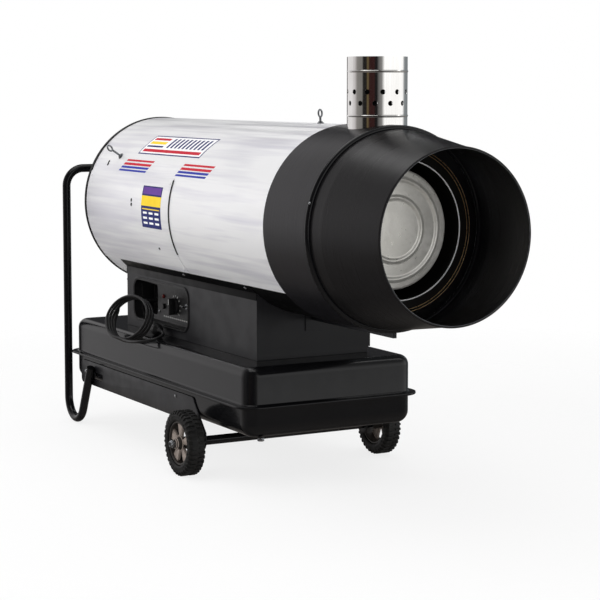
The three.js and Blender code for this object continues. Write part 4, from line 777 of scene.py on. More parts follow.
TRIM_FRONT = 12.5
rim_trim = rounded([(-1.9, DRUM_RADIUS - 4), (-1.9, DRUM_RADIUS + 2.7), (TRIM_FRONT, DRUM_RADIUS + 2.2),
                    (TRIM_FRONT, DRUM_RADIUS - 4)], [1.2, 1.6, 1, 0.4], 4)
piece("rim_trim", lathe(rim_trim, "X", ON_AXIS, ROUND, closed=True), LOOKS["shaded_strip"])
# A black rubber strip along the cover's front edge: a painted shadow of the gap under its raised edge
cover_edge_shadow_strip = prism(sector((COVER_LOW + 14, COVER_TOP - 1), (DRUM_RADIUS + SUNK, COVER_OUTER + 0.9), 64),
                   (COVER_FRONT - 0.6, COVER_FRONT + 3.4), "X", 0.5, 3)
piece("cover_edge_shadow_strip", cover_edge_shadow_strip, LOOKS["rubber"])
HOLE_PLUGS = (
    (110, 29.6, DRUM_RADIUS), (111, 27.8, DRUM_RADIUS), (352, 5.4, COVER_OUTER), (353, 2.6, COVER_OUTER))
piece("hole_plugs", joined(*[
    on_drum(stud(5.4, 0.7, radius - SUNK / 2, 0.2), along, angle) for along, angle, radius in HOLE_PLUGS]),
    LOOKS["shaded_strip"])
piece("cover_stud", on_drum(stud(4.2, 2.2, COVER_OUTER - SUNK), 498, -24.7), LOOKS["zinc"])


def patch(along, angles, radius, lean=0.0, thick=0.12):
    """A thin film on the drum: rows at an angle a round it, each row the ring from x + lean (a - a0)
    to the other edge at radius + thickness and back at the radius."""
    angle = np.linspace(*angles, 2 + int(abs(angles[1] - angles[0])))
    shift, turn = lean * (angle - angles[0]), np.radians(angle)
    edges = ((along[0], radius + thick), (along[1], radius + thick), (along[1], radius), (along[0], radius))
    rows = np.stack([np.stack([x + shift, -r * np.cos(turn), AXIS_HEIGHT + r * np.sin(turn)], -1)
                     for x, r in edges], 1)
    points, quads, _ = grid(rows, wrap_columns=True)
    last = len(points)
    return points, quads, [(0, 1, 2, 3), (last - 4, last - 3, last - 2, last - 1)]


# A thin black film on the drum's underside between the box front and the collar: painted shade under the drum
BELLY_SHADE_X, BELLY_SHADE_ANGLES = (BOX_FRONT - 2, COLLAR_REAR + 8), (-138, -42)
piece("drum_belly_painted_shade", patch(BELLY_SHADE_X, BELLY_SHADE_ANGLES, DRUM_RADIUS + SUNK / 2, thick=0.3), LOOKS["shaded_strip"])

# Films: plain stripes, a slanted badge of bars and a panel of colour fields, each layer a step above the last
ON_DRUM, ON_COVER = DRUM_RADIUS + 0.15, COVER_OUTER + 0.1
STRIPE_LEAN, STRIPE_LENGTH, STRIPE_LEVEL = 3.4, 190, 24.4
FILM_STEP = 0.14
for look, rows in (("red", ((32.1, 0.7), (29.4, 0.85))), ("blue", ((27.0, 0.75), (24.7, 0.65)))):
    piece("stripes_" + look, joined(*[
        patch((start, start + STRIPE_LENGTH), (angle - half, angle + half), ON_DRUM, STRIPE_LEAN)
        for along in (208, 600) for angle, half in rows
        for start in [along + STRIPE_LEAN * (angle - STRIPE_LEVEL)]]), LOOKS[look])
BADGE_LEAN = 1.6
BADGE = ((281, 694), (37.6, 54.4))


def badge(along, angles, level):
    """A part of the badge between two shares of its length and two shares of its height."""
    (rear, front), (low, high) = BADGE
    a, b = (low + (high - low) * share for share in angles)
    start, end = (rear + (front - rear) * share + BADGE_LEAN * (a - low) for share in along)
    return patch((start, end), (a, b), ON_DRUM + FILM_STEP * level, BADGE_LEAN)


piece("badge_frame", badge((0, 1), (0, 1), 0), LOOKS["navy"])
piece("badge_field", badge((0.012, 0.988), (0.05, 0.95), 1), LOOKS["white"])
piece("badge_red", joined(badge((0.04, 0.96), (0.12, 0.26), 2), badge((0.04, 0.3), (0.74, 0.86), 2)),
      LOOKS["red"])
piece("badge_bars", joined(*[badge((0.36 + 0.062 * i, 0.39 + 0.062 * i), (0.36, 0.86), 2) for i in range(10)],
                           badge((0.04, 0.3), (0.36, 0.44), 2)), LOOKS["navy"])
piece("badge_yellow", badge((0.04, 0.3), (0.52, 0.66), 2), LOOKS["yellow"])
PANEL_X, PANEL_HIGH, PANEL_LOW = (424, 556), 15.8, -11


def panel(along, heights, level):
    """A field of the panel between shares of its width and of its height from the top down."""
    start, end = (PANEL_X[0] + (PANEL_X[1] - PANEL_X[0]) * share for share in along)
    high, low = (PANEL_HIGH + (PANEL_LOW - PANEL_HIGH) * share for share in heights)
    return patch((start, end), (low, high), ON_COVER + FILM_STEP * level)


piece("panel_navy", panel((0, 1), (0, 1), 0), LOOKS["navy"])
piece("panel_purple", panel((0.04, 0.96), (0.03, 0.2), 1), LOOKS["purple"])
piece("panel_yellow", joined(panel((0, 1), (0.24, 0.48), 1), panel((0.06, 0.94), (0.54, 0.565), 1)),
      LOOKS["yellow"])
piece("panel_white", joined(*[panel((0.1 + 0.3 * i, 0.3 + 0.3 * i), (0.62 + 0.12 * j, 0.67 + 0.12 * j), 1)
                              for i in range(3) for j in range(3)]), LOOKS["white"])

# Collar, joint bead and outlet cone
collar_profile = rounded([
    (COLLAR_REAR, COLLAR_INNER), (COLLAR_FRONT, COLLAR_INNER), (COLLAR_FRONT, COLLAR_OUTER),
    (COLLAR_REAR, COLLAR_OUTER)], 0.4, 3)
flue_bore = lathe([(AXIS_HEIGHT, 0), (AXIS_HEIGHT, FLUE_BORE), (FLUE_TOP, FLUE_BORE), (FLUE_TOP, 0)], "Z",
                  (FLUE_PLACE, 0, 0), 80)
collar = carved("collar", lathe(collar_profile, "X", ON_AXIS, ROUND, closed=True), [flue_bore])
piece("collar", collar, LOOKS["collar"], "front_collar", crease=30)


def hoop(along, radius, wire):
    """A round wire bent to a circle round the drum's axis."""
    return ring((along, 0, AXIS_HEIGHT), radius, wire, "X", ROUND)


piece("bead", hoop(BEAD_PLACE, BEAD_RING, BEAD_RADIUS), LOOKS["tank"], "joint_bead")
piece("bead_screw", on_drum(stud(3.4, 2, BEAD_RING + BEAD_RADIUS - 1.4), BEAD_PLACE + 4, 16.5), LOOKS["zinc"])
slope = (CONE_REAR_RADIUS - OUTLET_RADIUS) / (OUTLET_PLACE - OUTLET_HEM - CONE_REAR - CONE_SHOULDER / 2)
cone_line = rounded([
    (CONE_REAR, CONE_REAR_RADIUS), (CONE_REAR + CONE_SHOULDER * 0.5, CONE_REAR_RADIUS),
    (CONE_REAR + CONE_SHOULDER * 2, CONE_REAR_RADIUS - slope * CONE_SHOULDER),
    (OUTLET_PLACE - OUTLET_HEM, OUTLET_RADIUS)], [0, 60, 60, 0], 8, False)
cone_profile = np.vstack([
    cone_line, arc((OUTLET_PLACE - OUTLET_HEM, OUTLET_RADIUS), OUTLET_HEM, 90, -180, 12),
    cone_line[::-1][1:] - [0, DRUM_SHEET]])
piece("cone", lathe(cone_profile, "X", ON_AXIS, ROUND, closed=True), LOOKS["cone"], "outlet_cone", crease=50)
# A thin grey ring inside the outlet's rolled rim: a painted highlight along the rim
piece("outlet_rim_painted_highlight", hoop(OUTLET_PLACE - 0.9, OUTLET_RADIUS - 2.1, 0.5), LOOKS["bolt"])

# Heat exchanger's pressed end, shield with its ring
ribs = np.linspace(0, EXCHANGER_RADIUS - 6, 120)
rib_share = [np.clip(1 - abs(ribs - r) / RIB_HALF, 0, 1) for r in RIB_RADII]
rib_rise = sum(RIB_RISE * (0.5 - 0.5 * np.cos(math.pi * share)) for share in rib_share)
end_face = np.stack([END_PLACE + rib_rise, ribs], -1)
end_profile = np.vstack([
    end_face,
    arc((END_PLACE - 6, EXCHANGER_RADIUS - 6), 6, 0, 90, 8), [(END_PLACE - END_FLANGE, EXCHANGER_RADIUS)],
    [(END_PLACE - END_FLANGE, EXCHANGER_RADIUS - 2), (END_PLACE - EXCHANGER_WALL, EXCHANGER_RADIUS - 8)],
    [(END_PLACE - EXCHANGER_WALL, 0)]])
piece("exchanger_face", lathe(end_profile, "X", ON_AXIS, ROUND), LOOKS["heat"], "exchanger_end")
shield_profile = rounded([
    (SHIELD_REAR, SHIELD_RADIUS - SHIELD_SHEET), (SHIELD_FRONT, SHIELD_RADIUS - SHIELD_SHEET),
    (SHIELD_FRONT, SHIELD_RADIUS), (SHIELD_REAR, SHIELD_RADIUS)], 0.4, 3)
shield = carved("shield", lathe(shield_profile, "X", ON_AXIS, ROUND, closed=True), [flue_bore])
piece("shield", shield, LOOKS["soot"], "shield_tube", crease=30)
piece("shield_edge", hoop(SHIELD_FRONT - 0.6, SHIELD_RADIUS - 0.6, 1.6), LOOKS["sheet"])
strips = [block((along, along + STRIP_SHEET), (-STRIP_HALF, STRIP_HALF), STRIP_REACH) for along in STRIP_ROWS]
shield_strips = joined(*[
    moved(turned(shaded_strip, angle, "X"), ON_AXIS) for shaded_strip in strips for angle in (60, 180, 300)])
piece("shield_feet", shield_strips, LOOKS["soot"])
ring_place = SHIELD_FRONT - 2 * SHIELD_EDGE
ring_profile = np.vstack([
    [(ring_place, SHIELD_RADIUS + SEAT)],
    arc((ring_place, SHIELD_RING - SHIELD_EDGE), SHIELD_EDGE, -120, 150, 12),
    [(ring_place - SHIELD_SHEET, SHIELD_RADIUS + SEAT)]])
piece("shield_rim", lathe(ring_profile, "X", ON_AXIS, ROUND, closed=True), LOOKS["soot"], "shield_ring",
      crease=50)
piece("shield_rim_edges", joined(hoop(ring_place + 2.6, SHIELD_RING - SHIELD_EDGE, 1.1),
                                 hoop(ring_place + 0.4, SHIELD_RING - 3 * SHIELD_EDGE, 1.1)), LOOKS["tinted"])


# Flue: one wall surface with pressed beads and real round holes, thickened inward
FLUE_COLUMNS = 96


def flue_wall(heights, radii):
    """Rows of the flue's wall: (place + r cos a, r sin a, z), with z a height or one for each column."""
    angle = np.radians(np.arange(FLUE_COLUMNS) * 360 / FLUE_COLUMNS + FLUE_FIRST_HOLE)
    rows = [np.stack(np.broadcast_arrays(FLUE_PLACE + r * np.cos(angle), r * np.sin(angle), z), -1)
            for z, r in zip(heights, radii)]
    return grid(np.array(rows), wrap_columns=True)


def bead_rows(middle):
    """A pressed bead of half width w: radius + rise (1 + cos(180 d / w)) / 2, d from its middle."""
    d = np.concatenate([[-1.5, -1.25], np.linspace(-1, 1, 9), [1.25, 1.5]])
    rise = 0.5 + 0.5 * np.cos(math.pi * np.clip(d, -1, 1))
    return list(middle + d * FLUE_BEAD_HALF), list(FLUE_RADIUS + FLUE_BEAD_RISE * rise)


def hole_cell(middle_angle, middle_height, half_height, rings=4):
    """A cell of the wall with a round hole: circle (1 - t) + rectangle t, t from 0 to 1, bent on the flue."""
    cell = 360 / FLUE_HOLES
    side = np.linspace(-1, 1, 9)[:-1]
    one = np.ones(8)
    edge = np.vstack([np.column_stack([side, -one]), np.column_stack([one, side]),
                      np.column_stack([-side, one]), np.column_stack([-one, -side])])
    edge = edge * [math.radians(cell / 2) * FLUE_RADIUS, half_height]
    circle = FLUE_HOLE_RADIUS * edge / np.linalg.norm(edge, axis=1)[:, None]
    share = np.linspace(0, 1, rings + 1)[:, None, None]
    flat = circle * (1 - share) + edge * share
    angle = math.radians(middle_angle) + flat[..., 0] / FLUE_RADIUS
    return grid(np.stack([FLUE_PLACE + FLUE_RADIUS * np.cos(angle), FLUE_RADIUS * np.sin(angle),
                          middle_height + flat[..., 1]], -1), wrap_columns=True)


column_angle = np.radians(np.arange(FLUE_COLUMNS) * 360 / FLUE_COLUMNS + FLUE_FIRST_HOLE)
foot = AXIS_HEIGHT + np.sqrt((COLLAR_OUTER + SEAT) ** 2 - (FLUE_RADIUS * np.sin(column_angle)) ** 2)
half_cell = (FLUE_HOLE_ROWS[1] - FLUE_HOLE_ROWS[0]) / 2
holes_low, holes_high = FLUE_HOLE_ROWS[0] - half_cell, FLUE_HOLE_ROWS[1] + half_cell
lower_bead, upper_bead = bead_rows(FLUE_LOWER_BEAD), bead_rows(FLUE_UPPER_BEAD)
cell_angle = 360 / FLUE_HOLES
flue_shape = joined(
    flue_wall([foot, foot + 3, *lower_bead[0], holes_low],
              [FLUE_RADIUS, FLUE_RADIUS, *lower_bead[1], FLUE_RADIUS]),
    flue_wall([holes_high, *upper_bead[0], FLUE_TOP - 2, FLUE_TOP],
              [FLUE_RADIUS, *upper_bead[1], FLUE_RADIUS, FLUE_RADIUS]),
    *[hole_cell(FLUE_FIRST_HOLE + cell_angle * (i + 0.5 * (1 - row)), height, half_cell)
      for row, height in enumerate(FLUE_HOLE_ROWS) for i in range(FLUE_HOLES)])
flue = placed("flue", to_mesh("flue", flue_shape))
wall = flue.modifiers.new("wall", "SOLIDIFY")
wall.thickness = FLUE_WALL * MM
wall.offset = -1
settled(flue)
piece("flue", flue, LOOKS["stainless"], "flue_pipe", crease=40)

# The inside of its wall gets the near-black coat and shows dark through the holes
flue.data.materials.append(LOOKS["soot"][0])
middles = np.empty(len(flue.data.polygons) * 3)
flue.data.polygons.foreach_get("center", middles)
from_axis = middles.reshape(-1, 3)[:, :2] / MM - [DRUM_REAR + FLUE_PLACE, 0]
inner = np.hypot(*from_axis.T) < FLUE_RADIUS - 0.7 * FLUE_WALL
flue.data.polygons.foreach_set("material_index", inner.astype(np.int32))
SEAM_HALF, SEAM_ANGLE, SEAM_FOOT = 2.6, -121, 945
seam_outline = rectangle((FLUE_RADIUS - 0.4, FLUE_RADIUS + 1.1), (-SEAM_HALF, SEAM_HALF), 0.6, 4)
seam = prism(seam_outline, (SEAM_FOOT, FLUE_TOP - 0.5), "Z", 0.4, 2)
piece("flue_seam", moved(turned(seam, SEAM_ANGLE, "Z"), (FLUE_PLACE, 0, 0)), LOOKS["stainless"])

# Rear guard, fan and motor
GUARD_PLACE, GUARD_WIRE = 12, 2.2
GUARD_OUTER, GUARD_PITCH = 251.2, 44
guard_rings = [ring((GUARD_PLACE, 0, AXIS_HEIGHT), GUARD_OUTER - GUARD_PITCH * i, GUARD_WIRE, "X", 96)
               for i in range(5)]
guard_bars = [moved(turned(rod((GUARD_PLACE + GUARD_WIRE, 0, 20), (GUARD_PLACE + GUARD_WIRE, 0, GUARD_OUTER),
                               GUARD_WIRE, 0.5, 12), 60 * i + 30, "X"), ON_AXIS) for i in range(6)]
GUARD_PLATE = 30
plate_rear, plate_front = GUARD_PLACE - GUARD_WIRE, GUARD_PLACE + 2 * GUARD_WIRE
guard_plate = lathe(rounded([(plate_rear, 0), (plate_rear, GUARD_PLATE), (plate_front, GUARD_PLATE),
                             (plate_front, 0)], [0, 1.5, 1.5, 0], 4, False), "X", ON_AXIS, 48)
piece("guard", joined(*guard_rings, *guard_bars, guard_plate), LOOKS["zinc"], "fan_guard")

FAN_PLACE, FAN_RADIUS, FAN_HUB = 62, 215, 42


def blade(stations=14, across=12):
    """A fan blade: at each radius an arched section, its chord and pitch changing evenly to the tip."""
    share = np.linspace(0, 1, stations)[:, None]
    radius = FAN_HUB * 0.8 + share * (FAN_RADIUS - FAN_HUB * 0.8 - 2)
    chord = (FAN_HUB * 0.8 + share * (FAN_RADIUS * 0.62 - FAN_HUB * 0.8)) * np.minimum(1, 1.9 * np.sqrt(
        np.clip(1.09 - share, 0, 1)))
    pitch = np.radians(32 + 16 * (0.5 - share))
    s = np.concatenate([np.linspace(-1, 1, across), np.linspace(1, -1, across)])[None, :]
    lift = np.concatenate([np.zeros(across), np.full(across, -2.2)])[None, :]
    place, rise = s * chord / 2, (1 - s ** 2) * chord * 0.09 + lift
    along = place * np.sin(pitch) + rise * np.cos(pitch)
    side = place * np.cos(pitch) - rise * np.sin(pitch)
    rings = np.stack([along, side, np.broadcast_to(radius, place.shape)], -1)
    points, quads, _ = grid(rings, wrap_columns=True)
    count = 2 * across
    return points, quads, [tuple(range(count)), tuple(range(len(points) - count, len(points)))]


HUB_HALF, SHAFT_BORE = 17, 7.4
fan_hub = rounded([(-HUB_HALF, 0), (-HUB_HALF, FAN_HUB), (HUB_HALF, FAN_HUB), (HUB_HALF, SHAFT_BORE),
                   (0, SHAFT_BORE), (0, 0)], [0, 9, 1, 0, 0, 0], 6, False)
fan_shape = joined(lathe(fan_hub, "X", sides=64), *[turned(blade(), 60 * i, "X") for i in range(6)])
piece("fan_wheel", moved(fan_shape, (FAN_PLACE, 0, AXIS_HEIGHT)), LOOKS["cast"], "fan", "fan_rotor", 30)
MOTOR_REAR, MOTOR_FRONT, MOTOR_RADIUS = 98, 248, 68
MOTOR_BORE, MOTOR_BEND = 7.6, 12
FIN_HALF, FIN_REACH, FINS = 1.2, (62, 73), 20
motor_profile = rounded([(MOTOR_REAR, MOTOR_BORE), (MOTOR_REAR, MOTOR_RADIUS), (MOTOR_FRONT, MOTOR_RADIUS),
                         (MOTOR_FRONT, MOTOR_BORE)], [0, MOTOR_BEND, MOTOR_BEND, 0], 6)
motor_fin = block((MOTOR_REAR + MOTOR_BEND, MOTOR_FRONT - MOTOR_BEND), (-FIN_HALF, FIN_HALF), FIN_REACH)
motor_fins = [turned(motor_fin, 360 / FINS * i, "X") for i in range(FINS)]
piece("motor_case", moved(joined(lathe(motor_profile, "X", sides=72, closed=True), *motor_fins), ON_AXIS),
      LOOKS["cast"], "motor")

# Saddle rails that follow the drum, with their screws
RAIL_SHEET = 1.5
RAIL_FLANGE, RAIL_DROP = 28, 20
RAIL_SCREWS = (557, 935)
rail_inner, rail_circle = BOX_HALF + SEAT, DRUM_RADIUS + 2 * SEAT
rail_start = math.degrees(math.acos(rail_inner / rail_circle))
rail_outer = math.degrees(math.acos((rail_inner + RAIL_SHEET) / (rail_circle + RAIL_SHEET)))
rail_end = rail_start - math.degrees(RAIL_FLANGE / DRUM_RADIUS)
rail_top = AXIS_HEIGHT - rail_circle * math.sin(math.radians(rail_start))
rail_outline = np.vstack([
    [(-rail_inner, rail_top - RAIL_DROP)],
    arc((0, AXIS_HEIGHT), rail_circle, 180 + rail_start, 180 + rail_end, 10),
    arc((0, AXIS_HEIGHT), rail_circle + RAIL_SHEET, 180 + rail_end, 180 + rail_outer, 10),
    [(-rail_inner - RAIL_SHEET, rail_top - RAIL_DROP)]])
rail = prism(rail_outline, (BOX_REAR, BOX_FRONT), "X", 0.3, 2)


def facing(place, height, face, radius=5.0, rise=2.8):
    """A domed screw head on a face that looks toward the control side."""
    return moved(turned(lathe(domed(radius, rise, 0.6), "Z", sides=24), 90, "X"), (place, face, height))


rail_screw = stud(5, 2.8, rail_circle + RAIL_SHEET - 2 * SUNK, 0.6)
rail_screws = joined(*[on_drum(rail_screw, along, 4 - rail_start) for along in RAIL_SCREWS])
# The rails wear the darkened coat: painted shade in the gap between the drum and the box
piece("rail_near", rail, LOOKS["shaded_strip"], "saddle_rail_near")
piece("rail_far", mirrored(rail), LOOKS["shaded_strip"], "saddle_rail_far")
piece("rail_screws", joined(rail_screws, mirrored(rail_screws)), LOOKS["zinc"])

# Control tray let into the box side, with a deeper pocket for the lead
tray_outline = rectangle(TRAY_X, TRAY_Z, TRAY_CORNER)
pocket_outline = rectangle(POCKET_X, POCKET_Z, TRAY_CORNER * 0.4)
TRAY_FACE = -BOX_HALF - SEAT
TRAY_FLOOR = -BOX_HALF + TRAY_DEPTH
POCKET_FLOOR = -BOX_HALF + POCKET_DEPTH
tray = carved("tray", prism(grown(tray_outline, TRAY_LIP), (TRAY_FACE - TRAY_SHEET, TRAY_FACE), "Y", 0.9), [
    prism(grown(tray_outline, -SEAT), (TRAY_FACE - 1, TRAY_FLOOR + TRAY_SHEET), "Y", 0.8),
    prism(grown(pocket_outline, TRAY_SHEET), (TRAY_FLOOR, POCKET_FLOOR + TRAY_SHEET), "Y", 0.8),
], "UNION")


def round_bore(radius, end, place):
    """A cutter for a round hole from outside the box to an end, round a line along Y."""
    start = -BOX_HALF - 30
    return lathe([(start, 0), (start, radius), (end, radius), (end, 0)], "Y", (place[0], 0, place[1]), 32)


TRAY_BEND, POCKET_BEND, CUTTER_REACH = 5, 4, 12
KNOB_BORE, BUTTON_BORE = 4.5, 8.4
tray_hollow = prism(grown(tray_outline, -TRAY_SHEET), (TRAY_FACE - CUTTER_REACH, TRAY_FLOOR), "Y",
                    TRAY_BEND, 5)
pocket_hollow = prism(pocket_outline, (TRAY_FLOOR - CUTTER_REACH, POCKET_FLOOR), "Y", POCKET_BEND, 5)
cut(tray, [tray_hollow, pocket_hollow, round_bore(KNOB_BORE, -100, KNOB_AT),
           round_bore(BUTTON_BORE, -110, BUTTON_AT)])
piece("tray", tray, LOOKS["plastic"], "control_tray", crease=30)
frame_line = laid(grown(tray_outline, 2.6), TRAY_FACE - TRAY_SHEET + 0.2, "Y")
piece("tray_frame", tube(frame_line, 1.5, 12, closed=True), LOOKS["plastic"])
TRAY_SCREWS = ((540, 410), (300, 380))
piece("tray_screws", joined(*[facing(*screw_at, TRAY_FLOOR + 2 * SUNK) for screw_at in TRAY_SCREWS]),
      LOOKS["zinc"])

# Thermostat knob with its grip, the printed scale round it, switch, button and lamp
knob_foot = TRAY_FLOOR - SEAT
knob_top = knob_foot - KNOB_SKIRT
skirt_profile = [(knob_foot, 0), (knob_foot, KNOB_RADIUS), (knob_top, KNOB_RADIUS * 0.9), (knob_top, 0)]
knob_skirt = lathe(rounded(skirt_profile, [0, 0.6, 1.6, 0], 5, False), "Y", sides=72)
grip_half, grip_reach = KNOB_GRIP[0] / 2, KNOB_RADIUS - 0.6
knob_grip = prism(rectangle((-grip_half, grip_half), (-grip_reach, grip_reach), 5),
                  (knob_top - KNOB_GRIP[1], knob_top + 1), "Y", 1.8, 4)
knob_shaft = rod((0, knob_top, 0), (0, TRAY_FLOOR + 7, 0), 4)
knob_line = block((-0.8, 0.8), (knob_top - KNOB_GRIP[1] - 0.15, knob_top - KNOB_GRIP[1] + 0.5), (6, 22), 0.05)
at_knob = (KNOB_AT[0], 0, KNOB_AT[1])
piece("knob", moved(joined(knob_skirt, knob_grip, knob_shaft), at_knob), LOOKS["plastic"], "thermostat_knob",
      "thermostat")
piece("knob_pointer", moved(knob_line, at_knob), LOOKS["print"], (), "thermostat")
INK = 0.08
tick_blocks = [block((-0.7, 0.7), (-INK, INK), (28.5, 33 if i % 2 else 35), INK / 4) for i in range(11)]
ticks = [moved(turned(tick, 27 * i - 135, "Y"), (KNOB_AT[0], TRAY_FLOOR - INK, KNOB_AT[1]))
         for i, tick in enumerate(tick_blocks)]
dashes = [block((x, x + 5), (TRAY_FLOOR - 2 * INK, TRAY_FLOOR), (368, 371), INK / 4)
          for x in range(330, 530, 14)]
piece("scale_marks", joined(*ticks, *dashes), LOOKS["print"])
bush_top = knob_foot - 7
at_toggle, at_button = (TOGGLE_AT[0], 0, TOGGLE_AT[1]), (BUTTON_AT[0], 0, BUTTON_AT[1])
BUSH_RADIUS, BUSH_BORE = 8, 3.4
bush_profile = rounded([(bush_top, BUSH_BORE), (bush_top, BUSH_RADIUS), (knob_foot, BUSH_RADIUS),
                        (knob_foot, BUSH_BORE)], [0.4, 1, 0.4, 0.2], 4)
piece("switch_bush", lathe(bush_profile, "Y", at_toggle, 32, closed=True), LOOKS["zinc"], "toggle_bush")
pivot = bush_top + 3.5
lever_profile = [(pivot + 3, 0), *[(pivot + 3 * s, 3 * c) for c, s in arc((0, 0), 1, 90, -35, 8)][1:],
                 (pivot - 14, 2.9), *[(pivot - 15 - 3 * s, 3 * c) for c, s in arc((0, 0), 1, 0, 90, 6)]]
piece("switch_toggle", lathe(lever_profile, "Y", at_toggle, 24), LOOKS["zinc"], "toggle_lever",
      "switch_lever")
BUTTON_RADIUS, BUTTON_OUT = 8, 6
button_profile = rounded([(TRAY_FLOOR - BUTTON_OUT, 0), (TRAY_FLOOR - BUTTON_OUT, BUTTON_RADIUS),
                          (TRAY_FLOOR + 8, BUTTON_RADIUS), (TRAY_FLOOR + 8, 0)], [0, 1.2, 0.4, 0], 5, False)
piece("reset", lathe(button_profile, "Y", at_button, 36), LOOKS["plastic"], "reset_button", "reset")
LAMP_RADIUS = 6
lamp_dome = [(TRAY_FLOOR - 2 - 4 * s, LAMP_RADIUS * c) for c, s in arc((0, 0), 1, 0, 90, 8)]
lamp_profile = [(knob_foot, 0), (knob_foot, LAMP_RADIUS), *lamp_dome]
piece("lamp", lathe(lamp_profile, "Y", (LAMP_AT[0], 0, LAMP_AT[1]), 32), LOOKS["lens"], "indicator_lamp")


# Fuel tank: two pressed pans that meet at a seam flange
def deck(inset, height):
    """The tank's outline, drawn in by an inset, at a height."""
    side, corner = TANK_HALF - inset, max(TANK_CORNER - inset, 2)
    return laid(rectangle((TANK_X[0] + inset, TANK_X[1] - inset), (-side, side), corner, 10), height, "Z")


def pan(floor, seam, bend):
    """A pan lofted through its section: from the middle of its floor over the bend and down the wall
    to the flange's edge, then back along the inside at the sheet's thickness."""
    up = math.copysign(1, floor - seam)
    sheet = TANK_FLANGE_SHEET
    outside = [(bend * (1 - math.sin(a)), floor - up * bend * (1 - math.cos(a)))
               for a in np.linspace(0, math.pi / 2, 11)]
    inner = bend - TANK_SHEET
    inside = [(bend - inner * math.sin(a), floor - up * (bend - inner * math.cos(a)))
              for a in np.linspace(math.pi / 2, 0, 11)]
    foot_bend = [(-6 + 6 * math.cos(a), seam + up * (sheet + 6 - 6 * math.sin(a)))
                 for a in np.linspace(0, math.pi / 2, 7)]
    lip = [(-TANK_FLANGE + 1.5 - 1.5 * math.sin(a), seam + up * (sheet - 1.5 + 1.5 * math.cos(a)))
           for a in np.linspace(0, math.pi / 2, 5)]
    section = [(bend * 1.4, floor), *outside, *foot_bend, *lip, (-TANK_FLANGE, seam), (TANK_SHEET, seam),
               (TANK_SHEET, seam + up * 8), *inside]
    rings = np.array([deck(inset, height) for inset, height in section])
    points, quads, _ = grid(rings, wrap_columns=True)
    count = rings.shape[1]
    return points, quads, [tuple(range(count)), tuple(range(len(points) - count, len(points)))]


filler_at, drain_at = (420, 200, 0), (1060, -205, 0)
FILLER_BORE = 22.4
filler_hole = lathe([(TANK_SEAM, 0), (TANK_SEAM, FILLER_BORE), (TANK_TOP + OVERRUN, FILLER_BORE),
                     (TANK_TOP + OVERRUN, 0)], "Z", filler_at, 40)
tank_upper = carved("tank_top", pan(TANK_TOP, TANK_SEAM + SEAT / 2, TANK_TOP_ROUND), [filler_hole])
piece("tank_top", tank_upper, LOOKS["tank"], "tank_upper", crease=30)
tank_lower = pan(TANK_BOTTOM, TANK_SEAM - SEAT / 2, TANK_BOTTOM_ROUND)
piece("tank_floor", tank_lower, LOOKS["tank"], "tank_lower", crease=30)
DRAIN_RADIUS = 9
drain_head = prism(arc((0, 0), DRAIN_RADIUS, 0, 300, 5), (TANK_BOTTOM - 9.3, TANK_BOTTOM - 1.5), "Z", 0.8)
drain_washer = lathe(rounded([
    (TANK_BOTTOM - 2, 0), (TANK_BOTTOM - 2, DRAIN_RADIUS), (TANK_BOTTOM - SEAT, DRAIN_RADIUS),
    (TANK_BOTTOM - SEAT, 0)], [0, 0.5, 0.2, 0], 3, False), "Z", sides=32)
piece("drain", moved(joined(drain_head, drain_washer), drain_at), LOOKS["zinc"], "drain_plug")
NECK_BORE, NECK_RADIUS, NECK_COLLAR, NECK_REACH = 20, 22, 26, 18
neck = rounded([
    (TANK_TOP - NECK_REACH, NECK_BORE), (TANK_TOP - NECK_REACH, NECK_RADIUS), (TANK_TOP + SEAT, NECK_RADIUS),
    (TANK_TOP + SEAT, NECK_COLLAR), (TANK_TOP + 2.3, NECK_COLLAR), (TANK_TOP + 2.3, NECK_RADIUS),
    (TANK_TOP + NECK_REACH, NECK_RADIUS), (TANK_TOP + NECK_REACH, NECK_BORE)],
    [0.4, 0.4, 0, 0.5, 0.8, 0.5, 0.5, 0.5], 3)
piece("neck", lathe(neck, "Z", filler_at, 48, closed=True), LOOKS["zinc"], "filler_neck")
cap_foot = TANK_TOP + 2.6
CAP_HEIGHT, CAP_BORE = 22.5, 22.6
cap = rounded([(cap_foot, CAP_BORE), (cap_foot, 26), (cap_foot + CAP_HEIGHT, 25), (cap_foot + CAP_HEIGHT, 0)],
              [0.3, 0.8, 3, 0], 5, False)
cap_flutes = [turned(rod((25.2, 0, cap_foot + 2), (24.6, 0, cap_foot + 18), 0.8, 0.4, 8), 15 * i, "Z")
              for i in range(24)]
cap_ceiling = TANK_TOP + NECK_REACH + SEAT
cap_shape = lathe([*cap, (cap_ceiling, 0), (cap_ceiling, CAP_BORE)], "Z", sides=72, closed=True)
piece("fuel_cap", moved(joined(cap_shape, *cap_flutes), filler_at), LOOKS["plastic"], "filler_cap", "cap", 40)

# Wheel brackets on the tank sides
axle_centre = (WHEEL_PLACE, AXLE_HEIGHT)
bracket_outline = np.vstack([
    rounded([(-20, 200), (-46, 200), (-46, 129), (-20, 129)], [0, 14, 14, 0], 6, False), [(730, 129)],
    arc(axle_centre, 25, 200, 360, 20), [(WHEEL_PLACE + 25, AXLE_HEIGHT + 25)],
    arc((749, 182), 18, 20, 90, 8)])
WINDOW_X, WINDOW_Z = (56, 124), (151, 172)
AXLE_BORE = 12.9
bracket_through = (-262, -246)
window = prism(rectangle(WINDOW_X, WINDOW_Z, 4), bracket_through, "Y")
axle_bore = lathe([(bracket_through[0], 0), *[(end, AXLE_BORE) for end in bracket_through],
                   (bracket_through[1], 0)], "Y", (WHEEL_PLACE, 0, AXLE_HEIGHT), 40)
bracket_plate = prism(bracket_outline, (-BRACKET_FACES[1], -BRACKET_FACES[0]), "Y", 0.5, 2)
near_bracket = carved("bracket_near", bracket_plate, [window, axle_bore])
